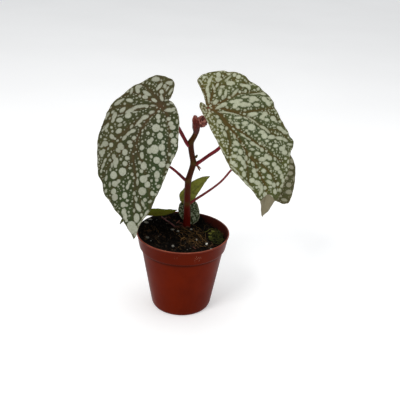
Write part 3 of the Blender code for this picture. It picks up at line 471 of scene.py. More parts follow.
# ------------------------------------------------------------------ curves and surfaces
def smooth(at, knots, values):
    """Values between knots on a smooth curve, level outside them."""
    at = np.asarray(at, float)
    knots = np.asarray(knots, float)
    values = np.asarray(values, float)
    slope = np.zeros(len(knots))
    rise = np.diff(values) / np.diff(knots)
    slope[1:-1] = (rise[1:] + rise[:-1]) / 2
    slope[0], slope[-1] = rise[0], rise[-1]
    i = np.clip(np.searchsorted(knots, at) - 1, 0, len(knots) - 2)
    run = knots[i + 1] - knots[i]
    u = np.clip((at - knots[i]) / run, 0, 1)
    return (
        (2 * u**3 - 3 * u**2 + 1) * values[i]
        + (u**3 - 2 * u**2 + u) * run * slope[i]
        + (3 * u**2 - 2 * u**3) * values[i + 1]
        + (u**3 - u**2) * run * slope[i + 1]
    )


def step(low, high, value):
    """0 below low, 1 above high, smooth between."""
    u = np.clip((np.asarray(value, float) - low) / (high - low), 0, 1)
    return u * u * (3 - 2 * u)


class Blade:
    """The bent surface of one leaf: call it with flat x and y in mm."""

    def __init__(self, spec):
        self.spec = spec
        self.joint = np.array(spec["joint"], float)
        turn, lift, roll = (math.radians(a) for a in spec["face"])
        up = np.array(
            [
                math.sin(turn) * math.cos(lift),
                -math.cos(turn) * math.cos(lift),
                math.sin(lift),
            ]
        )
        right = np.array([math.cos(turn), math.sin(turn), 0.0])
        down = np.cross(right, up)
        self.up = up
        self.down = down * math.cos(roll) + right * math.sin(roll)
        self.right = right * math.cos(roll) - down * math.sin(roll)
        y = np.linspace(-60, 190, 501)
        droop = np.array(spec["droop"], float)
        angle = np.radians(smooth(y, droop[:, 0], droop[:, 1]))
        middle = (angle[1:] + angle[:-1]) / 2
        along = np.append(0, np.cumsum(np.cos(middle))) * (y[1] - y[0])
        fall = np.append(0, np.cumsum(np.sin(middle))) * (y[1] - y[0])
        self.y = y
        self.angle = angle
        self.along = along - np.interp(0, y, along)
        self.fall = fall - np.interp(0, y, fall)

    def frame(self, x, y):
        x, y = np.broadcast_arrays(np.asarray(x, float), np.asarray(y, float))
        angle = np.interp(y, self.y, self.angle)[..., None]
        rib = (
            self.joint
            + np.interp(y, self.y, self.along)[..., None] * self.down
            - np.interp(y, self.y, self.fall)[..., None] * self.up
        )
        normal = np.sin(angle) * self.down + np.cos(angle) * self.up
        left = np.array(self.spec["arch_left"], float)
        right = np.array(self.spec["arch_right"], float)
        bend = np.where(
            x > 0,
            smooth(y, right[:, 0], right[:, 1]),
            smooth(y, left[:, 0], left[:, 1]),
        )
        bend = np.radians(np.where(np.abs(bend) < 1e-4, 1e-4, bend))
        swing = bend * np.abs(x)
        side = (np.sin(swing) / bend * np.sign(x))[..., None]
        drop = ((1 - np.cos(swing)) / bend)[..., None]
        point = rib + side * self.right - drop * normal
        turned = (
            np.cos(swing)[..., None] * normal
            + (np.sin(swing) * np.sign(x))[..., None] * self.right
        )
        return point, turned

    def __call__(self, x, y):
        return self.frame(x, y)[0]


def resample(points, spacing):
    """Points on a smooth curve through the given ones, about spacing apart."""
    points = np.asarray(points, float)
    length = np.append(0, np.cumsum(np.linalg.norm(np.diff(points, axis=0), axis=1)))
    count = max(3, int(round(length[-1] / spacing)) + 1)
    at = np.linspace(0, length[-1], count)
    return np.stack([smooth(at, length, points[:, k]) for k in range(points.shape[1])], 1)


def outline_loop(key, spacing):
    """The leaf's margin as an open list of flat points that closes on itself."""
    if key in OUTLINES:
        points = np.array(OUTLINES[key]["points"], float)
        tip = OUTLINES[key]["tip"]
        apart = [points[0]]
        for point in points[1:]:
            if np.linalg.norm(point - apart[-1]) > 0.9 or (point == points[tip]).all():
                apart.append(point)
        apart = np.array(apart)
        tip = int(np.argmin(np.linalg.norm(apart - points[tip], axis=1)))
        first = resample(apart[: tip + 1], spacing)
        second = resample(np.vstack([apart[tip:], points[:1]]), spacing)
        return np.vstack([first[:-1], second[:-1]])
    stations = np.array(LEAVES[key]["stations"], float)
    y = np.linspace(stations[0, 0], stations[-1, 0], 80)
    left = np.column_stack([smooth(y, stations[:, 0], stations[:, 1]), y])
    right = np.column_stack([smooth(y, stations[:, 0], stations[:, 2]), y])
    tip = (left[-1] + right[-1]) / 2 + (0, 0.9)
    head = (left[0] + right[0]) / 2
    first = resample(np.vstack([[head], left, [tip]]), spacing)
    second = resample(np.vstack([[tip], right[::-1], [head]]), spacing)
    return np.vstack([first[:-1], second[:-1]])


def to_lines(points, starts, ends):
    """Distance of each point to the nearest segment, its index and the place along it."""
    best = np.full(len(points), 1e9)
    which = np.zeros(len(points), int)
    place = np.zeros(len(points))
    for k, (a, b) in enumerate(zip(starts, ends)):
        run = b - a
        u = np.clip(((points - a) @ run) / max(run @ run, 1e-12), 0, 1)
        away = np.linalg.norm(points - (a + u[:, None] * run), axis=1)
        nearer = away < best
        best[nearer] = away[nearer]
        which[nearer] = k
        place[nearer] = u[nearer]
    return best, which, place


def inside(points, loop):
    """True for points within the closed loop."""
    within = np.zeros(len(points), bool)
    x, y = points[:, 0], points[:, 1]
    for (x0, y0), (x1, y1) in zip(loop, np.roll(loop, -1, axis=0)):
        if y0 == y1:
            continue
        crosses = (y0 > y) != (y1 > y)
        within ^= crosses & (x < (x1 - x0) * (y - y0) / (y1 - y0) + x0)
    return within


def flat_mesh(loop, spacing):
    """Triangles that fill the loop: points (the loop's first) and faces."""
    low, high = loop.min(0), loop.max(0)
    rows = []
    for k, y in enumerate(np.arange(low[1], high[1], spacing * 0.866)):
        x = np.arange(low[0] + (k % 2) * spacing / 2, high[0], spacing)
        rows.append(np.column_stack([x, np.full(len(x), y)]))
    grid = np.concatenate(rows)
    grid = grid[inside(grid, loop)]
    away, _, _ = to_lines(grid, loop, np.roll(loop, -1, axis=0))
    grid = grid[away > spacing * 0.55]
    points = np.vstack([loop, grid])
    made = delaunay_2d_cdt(
        [Vector(p) for p in points], [], [list(range(len(loop)))], 1, 1e-7
    )
    flat = np.array([tuple(v) for v in made[0]])
    faces = np.array([tuple(f) for f in made[2] if len(f) == 3])
    a, b, c = (flat[faces[:, k]] for k in range(3))
    turn = (b[:, 0] - a[:, 0]) * (c[:, 1] - a[:, 1]) - (b[:, 1] - a[:, 1]) * (c[:, 0] - a[:, 0])
    faces[turn < 0] = faces[turn < 0][:, ::-1]
    return flat, faces[np.abs(turn) > 1e-9]


def rim_edges(faces):
    """Directed edges that belong to one face only."""
    edges = np.concatenate([faces[:, [0, 1]], faces[:, [1, 2]], faces[:, [2, 0]]])
    there = {(a, b) for a, b in edges.tolist()}
    return [(a, b) for a, b in edges.tolist() if (b, a) not in there]


def waves(x, y, length, seed, count=5):
    """A smooth uneven field of about -1 to 1 with the given wavelength in mm."""
    rand = random.Random(seed)
    total = np.zeros(np.shape(x))
    for _ in range(count):
        turn = rand.uniform(0, math.pi)
        size = length * rand.uniform(0.7, 1.5)
        shift = rand.uniform(0, 2 * math.pi)
        total = total + np.sin(
            2 * math.pi * (x * math.cos(turn) + y * math.sin(turn)) / size + shift
        )
    return total / count * 1.4


# ------------------------------------------------------------------ meshes
PARTS = bpy.data.collections.new("looks")
bpy.context.scene.collection.children.link(PARTS)


def mesh_piece(name, points, faces, mats, slots=None, attributes=None, smooth_faces=True):
    """A piece from points in mm. slots gives each face's material, attributes its point values."""
    mesh = bpy.data.meshes.new(name)
    mesh.from_pydata((np.asarray(points, float) * MM).tolist(), [], [tuple(f) for f in faces])
    for mat in mats:
        mesh.materials.append(mat)
    if slots is not None:
        mesh.polygons.foreach_set("material_index", np.asarray(slots, np.int32))
    for key, values in (attributes or {}).items():
        values = np.asarray(values, np.float32)
        if values.ndim == 1:
            mesh.attributes.new(key, "FLOAT", "POINT").data.foreach_set("value", values)
        elif values.shape[1] == 4:
            mesh.attributes.new(key, "FLOAT_COLOR", "POINT").data.foreach_set("color", values.ravel())
        else:
            mesh.attributes.new(key, "FLOAT_VECTOR", "POINT").data.foreach_set("vector", values.ravel())
    if smooth_faces:
        mesh.shade_smooth()
    mesh.update()
    obj = bpy.data.objects.new(name, mesh)
    PARTS.objects.link(obj)
    return obj


def tube_mesh(path, radii, sides, swell=None):
    """Points, faces and (distance along, angle) of a closed tube."""
    path = np.asarray(path, float)
    radii = np.broadcast_to(np.asarray(radii, float), len(path))
    tangent = np.gradient(path, axis=0)
    tangent /= np.linalg.norm(tangent, axis=1)[:, None]
    side = np.cross(tangent[0], [0.31, 0.87, 0.2])
    side /= np.linalg.norm(side)
    length = np.append(0, np.cumsum(np.linalg.norm(np.diff(path, axis=0), axis=1)))
    points, places = [], []
    turn = np.linspace(0, 2 * math.pi, sides, endpoint=False)
    for k in range(len(path)):
        side = side - tangent[k] * (side @ tangent[k])
        side /= np.linalg.norm(side)
        other = np.cross(tangent[k], side)
        reach = radii[k] * (np.ones(sides) if swell is None else swell(length[k], turn))
        ring = path[k] + reach[:, None] * (
            np.cos(turn)[:, None] * side + np.sin(turn)[:, None] * other
        )
        points.append(ring)
        places.append(np.column_stack([np.full(sides, length[k]), turn, np.zeros(sides)]))
    points = np.concatenate(points)
    places = np.concatenate(places)
    faces = []
    for k in range(len(path) - 1):
        for j in range(sides):
            n = (j + 1) % sides
            a, b = k * sides + j, k * sides + n
            faces.append((a, b, b + sides, a + sides))
    first, last = len(points), len(points) + 1
    points = np.vstack([points, path[0] - tangent[0] * radii[0] * 0.35, path[-1] + tangent[-1] * radii[-1] * 0.35])
    places = np.vstack([places, [0, 0, 0], [length[-1], 0, 0]])
    top = (len(path) - 1) * sides
    for j in range(sides):
        n = (j + 1) % sides
        faces.append((n, j, first))
        faces.append((top + j, top + n, last))
    return points, faces, places


class Heap:
    """Gathers many small meshes into one piece."""

    def __init__(self):
        self.points, self.faces, self.tints, self.count = [], [], [], 0

    def add(self, points, faces, tint=0.5):
        points = np.asarray(points, float)
        self.points.append(points)
        self.faces.extend(tuple(int(i) + self.count for i in f) for f in faces)
        self.tints.append(np.full(len(points), tint))
        self.count += len(points)

    def piece(self, name, mats, smooth_faces=True):
        return mesh_piece(
            name,
            np.vstack(self.points),
            self.faces,
            mats,
            attributes={"tint": np.concatenate(self.tints)},
            smooth_faces=smooth_faces,
        )


# ------------------------------------------------------------------ materials
def rgb(r, g, b):
    """A colour given as screen values 0-255, in linear light."""
    return tuple(
        (c / 12.92 if c <= 0.04045 else ((c + 0.055) / 1.055) ** 2.4)
        for c in (r / 255, g / 255, b / 255)
    ) + (1.0,)


class Shade:
    """Builds one node material."""

    def __init__(self, name):
        self.mat = bpy.data.materials.new(name)
        self.mat.use_nodes = True
        self.tree = self.mat.node_tree
        self.shader = self.tree.nodes["Principled BSDF"]

    def node(self, kind, **values):
        made = self.tree.nodes.new(kind)
        for key, value in values.items():
            setattr(made, key, value)
        return made

    def put(self, value, socket):
        if isinstance(value, bpy.types.NodeSocket):
            self.tree.links.new(value, socket)
        elif value is not None:
            socket.default_value = value

    def set(self, **values):
        for key, value in values.items():
            self.put(value, self.shader.inputs[key.replace("_", " ")])

    def place(self):
        """The piece's own coordinates, in metres."""
        return self.node("ShaderNodeTexCoord").outputs["Object"]

    def value(self, name):
        return self.node("ShaderNodeAttribute", attribute_name=name).outputs["Fac"]

    def vector(self, name):
        return self.node("ShaderNodeAttribute", attribute_name=name).outputs["Vector"]

    def colour(self, name):
        return self.node("ShaderNodeAttribute", attribute_name=name).outputs["Color"]

    def stretch(self, vector, scale):
        made = self.node("ShaderNodeMapping")
        self.put(vector, made.inputs["Vector"])
        made.inputs["Scale"].default_value = scale
        return made.outputs["Vector"]

    def noise(self, vector, scale, detail=3.0, rough=0.55, warp=0.0):
        made = self.node("ShaderNodeTexNoise")
        self.put(vector, made.inputs["Vector"])
        made.inputs["Scale"].default_value = scale
        made.inputs["Detail"].default_value = detail
        made.inputs["Roughness"].default_value = rough
        made.inputs["Distortion"].default_value = warp
        return made.outputs["Fac"]

    def cells(self, vector, scale, feature="F1", jitter=1.0):
        made = self.node("ShaderNodeTexVoronoi", feature=feature)
        self.put(vector, made.inputs["Vector"])
        made.inputs["Scale"].default_value = scale
        made.inputs["Randomness"].default_value = jitter
        return made

    def sum(self, operation, a, b=None, c=None, clamp=False):
        made = self.node("ShaderNodeMath", operation=operation, use_clamp=clamp)
        for value, socket in zip((a, b, c), made.inputs):
            self.put(value, socket)
        return made.outputs[0]

    def between(self, value, low, high, to_low=0.0, to_high=1.0):
        made = self.node("ShaderNodeMapRange", interpolation_type="SMOOTHSTEP")
        self.put(value, made.inputs["Value"])
        for key, number in (("From Min", low), ("From Max", high), ("To Min", to_low), ("To Max", to_high)):
            self.put(number, made.inputs[key])
        return made.outputs["Result"]

    def mix(self, amount, a, b, kind="MIX"):
        made = self.node("ShaderNodeMix", data_type="RGBA", blend_type=kind)
        self.put(amount, made.inputs["Factor"])
        self.put(a, made.inputs[6])
        self.put(b, made.inputs[7])
        return made.outputs[2]

    def bump(self, height, strength, distance, under=None):
        made = self.node("ShaderNodeBump")
        made.inputs["Strength"].default_value = strength
        made.inputs["Distance"].default_value = distance
        self.put(height, made.inputs["Height"])
        if under is not None:
            self.put(under, made.inputs["Normal"])
        return made.outputs["Normal"]


def leaf_material(name, look):
    """Upper side of a spotted leaf. Its base tint, spots and veins come from the mesh."""
    s = Shade(name)
    flat = s.vector("flat")
    spot = s.value("spot")
    tone = s.value("tone")
    vein = s.value("vein")
    edge = s.value("edge")
    tint = s.colour("tint")

    blotch = s.noise(flat, 0.09, 4.0, 0.6)
    mottle = s.noise(flat, 0.55, 4.0, 0.65)
    fine = s.noise(flat, 2.4, 3.0, 0.6)
    base = s.mix(s.between(blotch, 0.35, 0.68), tint, s.mix(0.55, tint, look["deep"]))
    base = s.mix(s.between(mottle, 0.42, 0.72, 0.0, 0.55), base, look["light"])
    base = s.mix(s.between(fine, 0.35, 0.75, 0.0, 0.30), base, look["deep"])
    base = s.mix(s.sum("MULTIPLY", vein, look["vein_amount"]), base, look["vein"])

    # spots: a crisp, slightly ragged edge round the distance field on the mesh
    ragged = s.sum("MULTIPLY_ADD", s.sum("SUBTRACT", s.noise(flat, 0.8, 3.0, 0.6), 0.5), look["ragged"], spot)
    ragged = s.sum("MULTIPLY_ADD", s.sum("SUBTRACT", fine, 0.5), look["ragged"] * 0.45, ragged)
    grow = look["grow"]
    big = s.between(ragged, -0.16 - grow, 0.14 - grow)

    # small dots scattered between them, none on the veins
    dots = s.cells(flat, look["dot_scale"])
    size = s.sum("MULTIPLY", s.node_value(dots, "Color"), look["dot_size"])
    near = s.sum("SUBTRACT", size, dots.outputs["Distance"])
    clear = s.sum("SUBTRACT", 1.0, s.between(vein, 0.15, 0.55))
    small = s.sum("MULTIPLY", s.between(near, -0.02, 0.10), clear)
    small = s.sum("MULTIPLY", small, look["dot_amount"])
    cover = s.sum("MAXIMUM", big, small)

    pale = s.mix(tone, look["spot_dull"], look["spot_pale"])
    pale = s.mix(s.between(mottle, 0.38, 0.66, 0.0, 0.40), pale, look["spot_shade"])
    pale = s.mix(s.between(fine, 0.45, 0.75, 0.0, 0.35), pale, look["spot_light"])
    # a fine net of sunk lines crosses the spots
    net = s.cells(flat, 0.95, "DISTANCE_TO_EDGE")
    lines = s.sum("SUBTRACT", 1.0, s.between(net.outputs["Distance"], 0.02, 0.16))
    pale = s.mix(s.sum("MULTIPLY", lines, look["net"]), pale, look["spot_shade"])
    base = s.mix(s.sum("MULTIPLY", lines, 0.35), base, look["deep"])
    # a spot is thinner and duller towards its edge
    thin = s.between(ragged, -0.16 - grow, 0.75, 0.42, 0.0)
    pale = s.mix(s.sum("MULTIPLY", thin, big), pale, base)
    colour = s.mix(cover, base, pale)
    # a thin paler rim on the margin itself
    rim = s.sum("SUBTRACT", 1.0, s.between(edge, 0.25, 0.85))
    broken = s.between(s.noise(flat, 0.35, 2.0), 0.40, 0.62)
    colour = s.mix(s.sum("MULTIPLY", s.sum("MULTIPLY", rim, broken), look["rim_amount"]), colour, look["rim"])

    pebbles = s.cells(flat, 1.15, "F1")
    grain = s.sum("MULTIPLY_ADD", pebbles.outputs["Distance"], -0.6, s.noise(flat, 3.2, 3.0))
    lift = s.sum("MULTIPLY_ADD", cover, 0.8, grain)
    lift = s.sum("MULTIPLY_ADD", lines, -0.7, lift)
    s.set(
        Base_Color=colour,
        Roughness=s.sum("MULTIPLY_ADD", s.sum("SUBTRACT", 1.0, cover), 0.05, s.between(mottle, 0.3, 0.7, 0.44, 0.58)),
        Specular_IOR_Level=0.13,
        Normal=s.bump(lift, 0.42, 0.0005),
    )
    return s.mat


def cell_value(self, node, output):
    """A random number 0-1 for each Voronoi cell."""
    made = self.node("ShaderNodeSeparateColor")
    self.tree.links.new(node.outputs[output], made.inputs[0])
    return made.outputs[0]


Shade.node_value = cell_value


def underside_material(name, base, vein, edge):
    s = Shade(name)
    flat = s.vector("flat")
    mottle = s.noise(flat, 0.35, 4.0, 0.6)
    fine = s.noise(flat, 2.6, 3.0, 0.6)
    colour = s.mix(s.between(mottle, 0.35, 0.7), base, edge)
    colour = s.mix(s.between(fine, 0.4, 0.75, 0.0, 0.35), colour, vein)
    colour = s.mix(s.sum("MULTIPLY", s.value("vein"), 0.75), colour, vein)
    pebbles = s.cells(flat, 1.15, "F1")
    s.set(
        Base_Color=colour,
        Roughness=s.between(mottle, 0.3, 0.7, 0.5, 0.66),
        Specular_IOR_Level=0.16,
        Normal=s.bump(s.sum("MULTIPLY_ADD", pebbles.outputs["Distance"], 0.6, fine), 0.3, 0.0004),
    )
    return s.mat


def green_material(name, base, dark, light, rough=0.42, shine=0.12):
    """Upper side of a plain green young leaf."""
    s = Shade(name)
    flat = s.vector("flat")
    mottle = s.noise(flat, 0.28, 4.0, 0.6)
    fine = s.noise(flat, 2.0, 3.0, 0.6)
    colour = s.mix(s.between(mottle, 0.35, 0.7), s.colour("tint"), base)
    colour = s.mix(s.between(fine, 0.45, 0.8, 0.0, 0.45), colour, light)
    colour = s.mix(s.sum("MULTIPLY", s.value("vein"), 0.6), colour, dark)
    edge = s.sum("SUBTRACT", 1.0, s.between(s.value("edge"), 0.2, 1.0))
    colour = s.mix(s.sum("MULTIPLY", edge, 0.55), colour, dark)
    s.set(
        Base_Color=colour,
        Roughness=s.between(mottle, 0.3, 0.7, rough - 0.06, rough + 0.08),
        Specular_IOR_Level=shine,
        Normal=s.bump(s.sum("ADD", fine, s.noise(flat, 5.0, 2.0)), 0.22, 0.0003),
    )
    return s.mat


def stalk_material(name, base, dark, light, streak, rough=0.36):
    """A smooth juicy stalk with fine lengthwise streaks and small pores."""
    s = Shade(name)
    place = s.place()
    along = s.vector("tube")
    lines = s.noise(s.stretch(along, (0.10, 2.2, 1.0)), 1.6, 4.0, 0.6)
    patch = s.noise(place, 130.0, 4.0, 0.6)
    pores = s.cells(place, 620.0)
    colour = s.mix(s.between(patch, 0.36, 0.68), base, dark)
    colour = s.mix(s.between(lines, 0.42, 0.72, 0.0, 0.5), colour, streak)
    colour = s.mix(s.sum("MULTIPLY", s.sum("SUBTRACT", 1.0, s.between(pores.outputs["Distance"], 0.10, 0.24)), 0.45), colour, light)
    s.set(
        Base_Color=colour,
        Roughness=s.between(patch, 0.3, 0.7, rough - 0.06, rough + 0.12),
        Specular_IOR_Level=0.2,
        Normal=s.bump(s.sum("ADD", lines, s.sum("MULTIPLY", patch, 0.5)), 0.25, 0.0003),
    )
    return s.mat


def cane_material():
    """The stem: clear red at the foot, brown higher up, olive at the swollen places."""
    s = Shade("cane")
    place = s.place()
    split = s.node("ShaderNodeSeparateXYZ")
    s.put(place, split.inputs[0])
    height = split.outputs["Z"]
    lines = s.noise(s.stretch(s.vector("tube"), (0.06, 2.6, 1.0)), 1.5, 4.0, 0.6)
    patch = s.noise(place, 90.0, 4.0, 0.6)
    fine = s.noise(place, 700.0, 3.0, 0.6)
    low, high = rgb(92, 15, 4), rgb(70, 29, 9)
    colour = s.mix(s.between(height, 0.088, 0.128), low, high)
    colour = s.mix(s.sum("MULTIPLY", s.between(patch, 0.50, 0.72), s.between(height, 0.085, 0.12)), colour, rgb(74, 46, 14))
    colour = s.mix(s.sum("MULTIPLY", s.value("node"), 0.7), colour, rgb(80, 62, 20))
    colour = s.mix(s.between(lines, 0.5, 0.78, 0.0, 0.55), colour, rgb(44, 10, 7))
    colour = s.mix(s.between(fine, 0.52, 0.8, 0.0, 0.25), colour, rgb(110, 44, 30))
    # pores: short pale dashes along the cane
    pores = s.cells(s.stretch(place, (1.0, 1.0, 0.45)), 520.0)
    colour = s.mix(s.sum("MULTIPLY", s.sum("SUBTRACT", 1.0, s.between(pores.outputs["Distance"], 0.08, 0.2)), 0.3), colour, rgb(130, 84, 62))
    s.set(
        Base_Color=colour,
        Roughness=s.between(patch, 0.3, 0.7, 0.36, 0.52),
        Specular_IOR_Level=0.09,
        Normal=s.bump(s.sum("MULTIPLY_ADD", lines, 0.8, fine), 0.3, 0.0004),
    )
    return s.mat


def pot_material():
    """Brick-red moulded plastic, with dried splashes outside. The inside has its own copy of it, painted darker as
    shade and stained with soil.
    """
    s = Shade("terracotta_plastic")
    place = s.place()
    split = s.node("ShaderNodeSeparateXYZ")
    s.put(place, split.inputs[0])
    height = split.outputs["Z"]

    cloud = s.noise(place, 28.0, 4.0, 0.6)
    grain = s.noise(place, 900.0, 2.0, 0.5)
    rub = s.noise(s.stretch(place, (1.0, 1.0, 7.0)), 120.0, 4.0, 0.65)
    colour = s.mix(s.between(cloud, 0.3, 0.72), rgb(95, 22, 0), rgb(83, 17, 0))
    colour = s.mix(s.between(rub, 0.56, 0.82, 0.0, 0.16), colour, rgb(116, 36, 10))
    colour = s.mix(s.between(grain, 0.55, 0.8, 0.0, 0.16), colour, rgb(74, 17, 5))
    # painted shade: the collar is painted a little darker, and a band of painted shade lies in the groove under it
    colour = s.mix(s.between(height, (COLLAR_FOOT_Z_MM - 0.6) * MM, (COLLAR_FOOT_Z_MM + 0.4) * MM, 0.0, 0.32), colour, rgb(74, 16, 1))
    # painted shade: the mask under is the groove below the collar, painted dark as its shade
    under = s.sum("MULTIPLY", s.between(height, (BODY_TOP_Z_MM - 2.6) * MM, (BODY_TOP_Z_MM + 0.2) * MM), s.between(height, (COLLAR_FOOT_Z_MM + 0.5) * MM, (COLLAR_FOOT_Z_MM - 0.2) * MM))
    colour = s.mix(s.sum("MULTIPLY", under, 0.62), colour, rgb(42, 10, 2))
    # painted highlight: the lip is painted paler, in patches
    painted_lip_highlight = s.between(height, 0.0731, 0.0738)
    colour = s.mix(s.sum("MULTIPLY", painted_lip_highlight, s.between(rub, 0.3, 0.62, 0.35, 0.9)), colour, rgb(150, 84, 66))
    # soil clings to the lip where it is banked up against it
    bank = s.sum("MULTIPLY", s.between(split.outputs["X"], -0.012, -0.028), s.between(split.outputs["Y"], -0.008, 0.006))
    bank = s.sum("MULTIPLY", bank, s.between(height, 0.0725, 0.0735))
    colour = s.mix(s.sum("MULTIPLY", bank, s.between(s.noise(place, 420.0, 4.0, 0.7), 0.32, 0.56, 0.3, 0.95)), colour, rgb(22, 15, 12))
    # fine dried splashes on the collar, most of them in one patch
    specks = s.cells(place, 900.0)
    few = s.between(s.noise(place, 60.0, 3.0, 0.6), 0.66, 0.80)
    patch = s.node("ShaderNodeVectorMath", operation="DISTANCE")
    s.put(place, patch.inputs[0])
    patch.inputs[1].default_value = (0.0133, -0.0385, 0.0664)
    close = s.sum("SUBTRACT", 1.0, s.between(patch.outputs["Value"], 0.0012, 0.0046))
    few = s.sum("MAXIMUM", few, s.sum("MULTIPLY", close, 1.3), clamp=True)
    mark = s.sum("MULTIPLY", s.sum("SUBTRACT", 1.0, s.between(specks.outputs["Distance"], 0.10, 0.28)), few)
    colour = s.mix(s.sum("MULTIPLY", mark, 0.7), colour, rgb(196, 160, 138))
    s.set(
        Base_Color=colour,
        Roughness=s.between(cloud, 0.3, 0.7, 0.30, 0.42),
        Specular_IOR_Level=0.03,
        Normal=s.bump(s.sum("MULTIPLY_ADD", rub, 0.6, grain), 0.12, 0.0003),
    )
    return s.mat


def pot_inside_shaded_material():
    s = Shade("pot_inside_shaded")
    place = s.place()
    cloud = s.noise(place, 60.0, 4.0, 0.65)
    soil_and_shade_blotches = s.noise(place, 420.0, 4.0, 0.7)
    split = s.node("ShaderNodeSeparateXYZ")
    s.put(place, split.inputs[0])
    # painted shade: the inner wall is the same plastic painted darker, as the shade inside the pot
    colour = s.mix(s.between(cloud, 0.3, 0.7), rgb(72, 22, 12), rgb(54, 17, 10))
    # painted shade: the wall is painted darker still towards the soil, in blotches of soil colour
    low = s.sum("SUBTRACT", 1.0, s.between(split.outputs["Z"], 0.0655, 0.0738))
    colour = s.mix(s.sum("MULTIPLY", low, s.between(soil_and_shade_blotches, 0.35, 0.62)), colour, rgb(20, 13, 10))
    bank = s.sum("MULTIPLY", s.between(split.outputs["X"], -0.010, -0.026), s.between(split.outputs["Y"], -0.010, 0.006))
    colour = s.mix(s.sum("MULTIPLY", bank, s.between(soil_and_shade_blotches, 0.30, 0.55, 0.45, 0.95)), colour, rgb(20, 14, 11))
    s.set(
        Base_Color=colour,
        Roughness=s.between(soil_and_shade_blotches, 0.3, 0.7, 0.4, 0.6),
        Specular_IOR_Level=0.15,
        Normal=s.bump(soil_and_shade_blotches, 0.2, 0.0003),
    )
    return s.mat


def soil_material(name, dark, brown, light):
    s = Shade(name)
    place = s.place()
    cloud = s.noise(place, 75.0, 5.0, 0.65)
    grit = s.noise(place, 650.0, 5.0, 0.7)
    chips = s.cells(place, 700.0)
    tone = s.node_value(chips, "Color")
    colour = s.mix(s.between(cloud, 0.42, 0.70), dark, brown)
    colour = s.mix(s.between(grit, 0.56, 0.78, 0.0, 0.7), colour, light)
    colour = s.mix(s.between(tone, 0.80, 0.97, 0.0, 0.6), colour, light)
    s.set(
        Base_Color=colour,
        Roughness=s.between(grit, 0.3, 0.7, 0.8, 0.97),
        Specular_IOR_Level=0.05,
        Normal=s.bump(s.sum("MULTIPLY_ADD", chips.outputs["Distance"], -0.8, grit), 0.9, 0.0009),
    )
    return s.mat


def tinted_material(name, dark, light, rough, bump=0.4, scale=500.0, distance=0.0004):
    """For heaps of small things: each has its own tint between two colours."""
    s = Shade(name)
    place = s.place()
    grain = s.noise(place, scale, 4.0, 0.65)
    colour = s.mix(s.value("tint"), dark, light)
    colour = s.mix(s.between(grain, 0.45, 0.75, 0.0, 0.5), colour, s.mix(0.6, colour, dark))
    s.set(
        Base_Color=colour,
        Roughness=s.between(grain, 0.3, 0.7, rough - 0.08, rough + 0.06),
        Specular_IOR_Level=0.12,
        Normal=s.bump(grain, bump, distance),
    )
    return s.mat


def floor_material():
    s = Shade("floor_paper")
    place = s.place()
    tone = s.noise(place, 3.0, 3.0, 0.5)
    s.set(
        Base_Color=s.mix(s.between(tone, 0.3, 0.7), rgb(240, 240, 240), rgb(236, 236, 236)),
        Roughness=0.9,
        Specular_IOR_Level=0.1,
        Emission_Color=(1.0, 1.0, 1.0, 1.0),
        Emission_Strength=0.30,
        Normal=s.bump(s.noise(place, 900.0, 2.0), 0.05, 0.0002),
    )
    return s.mat


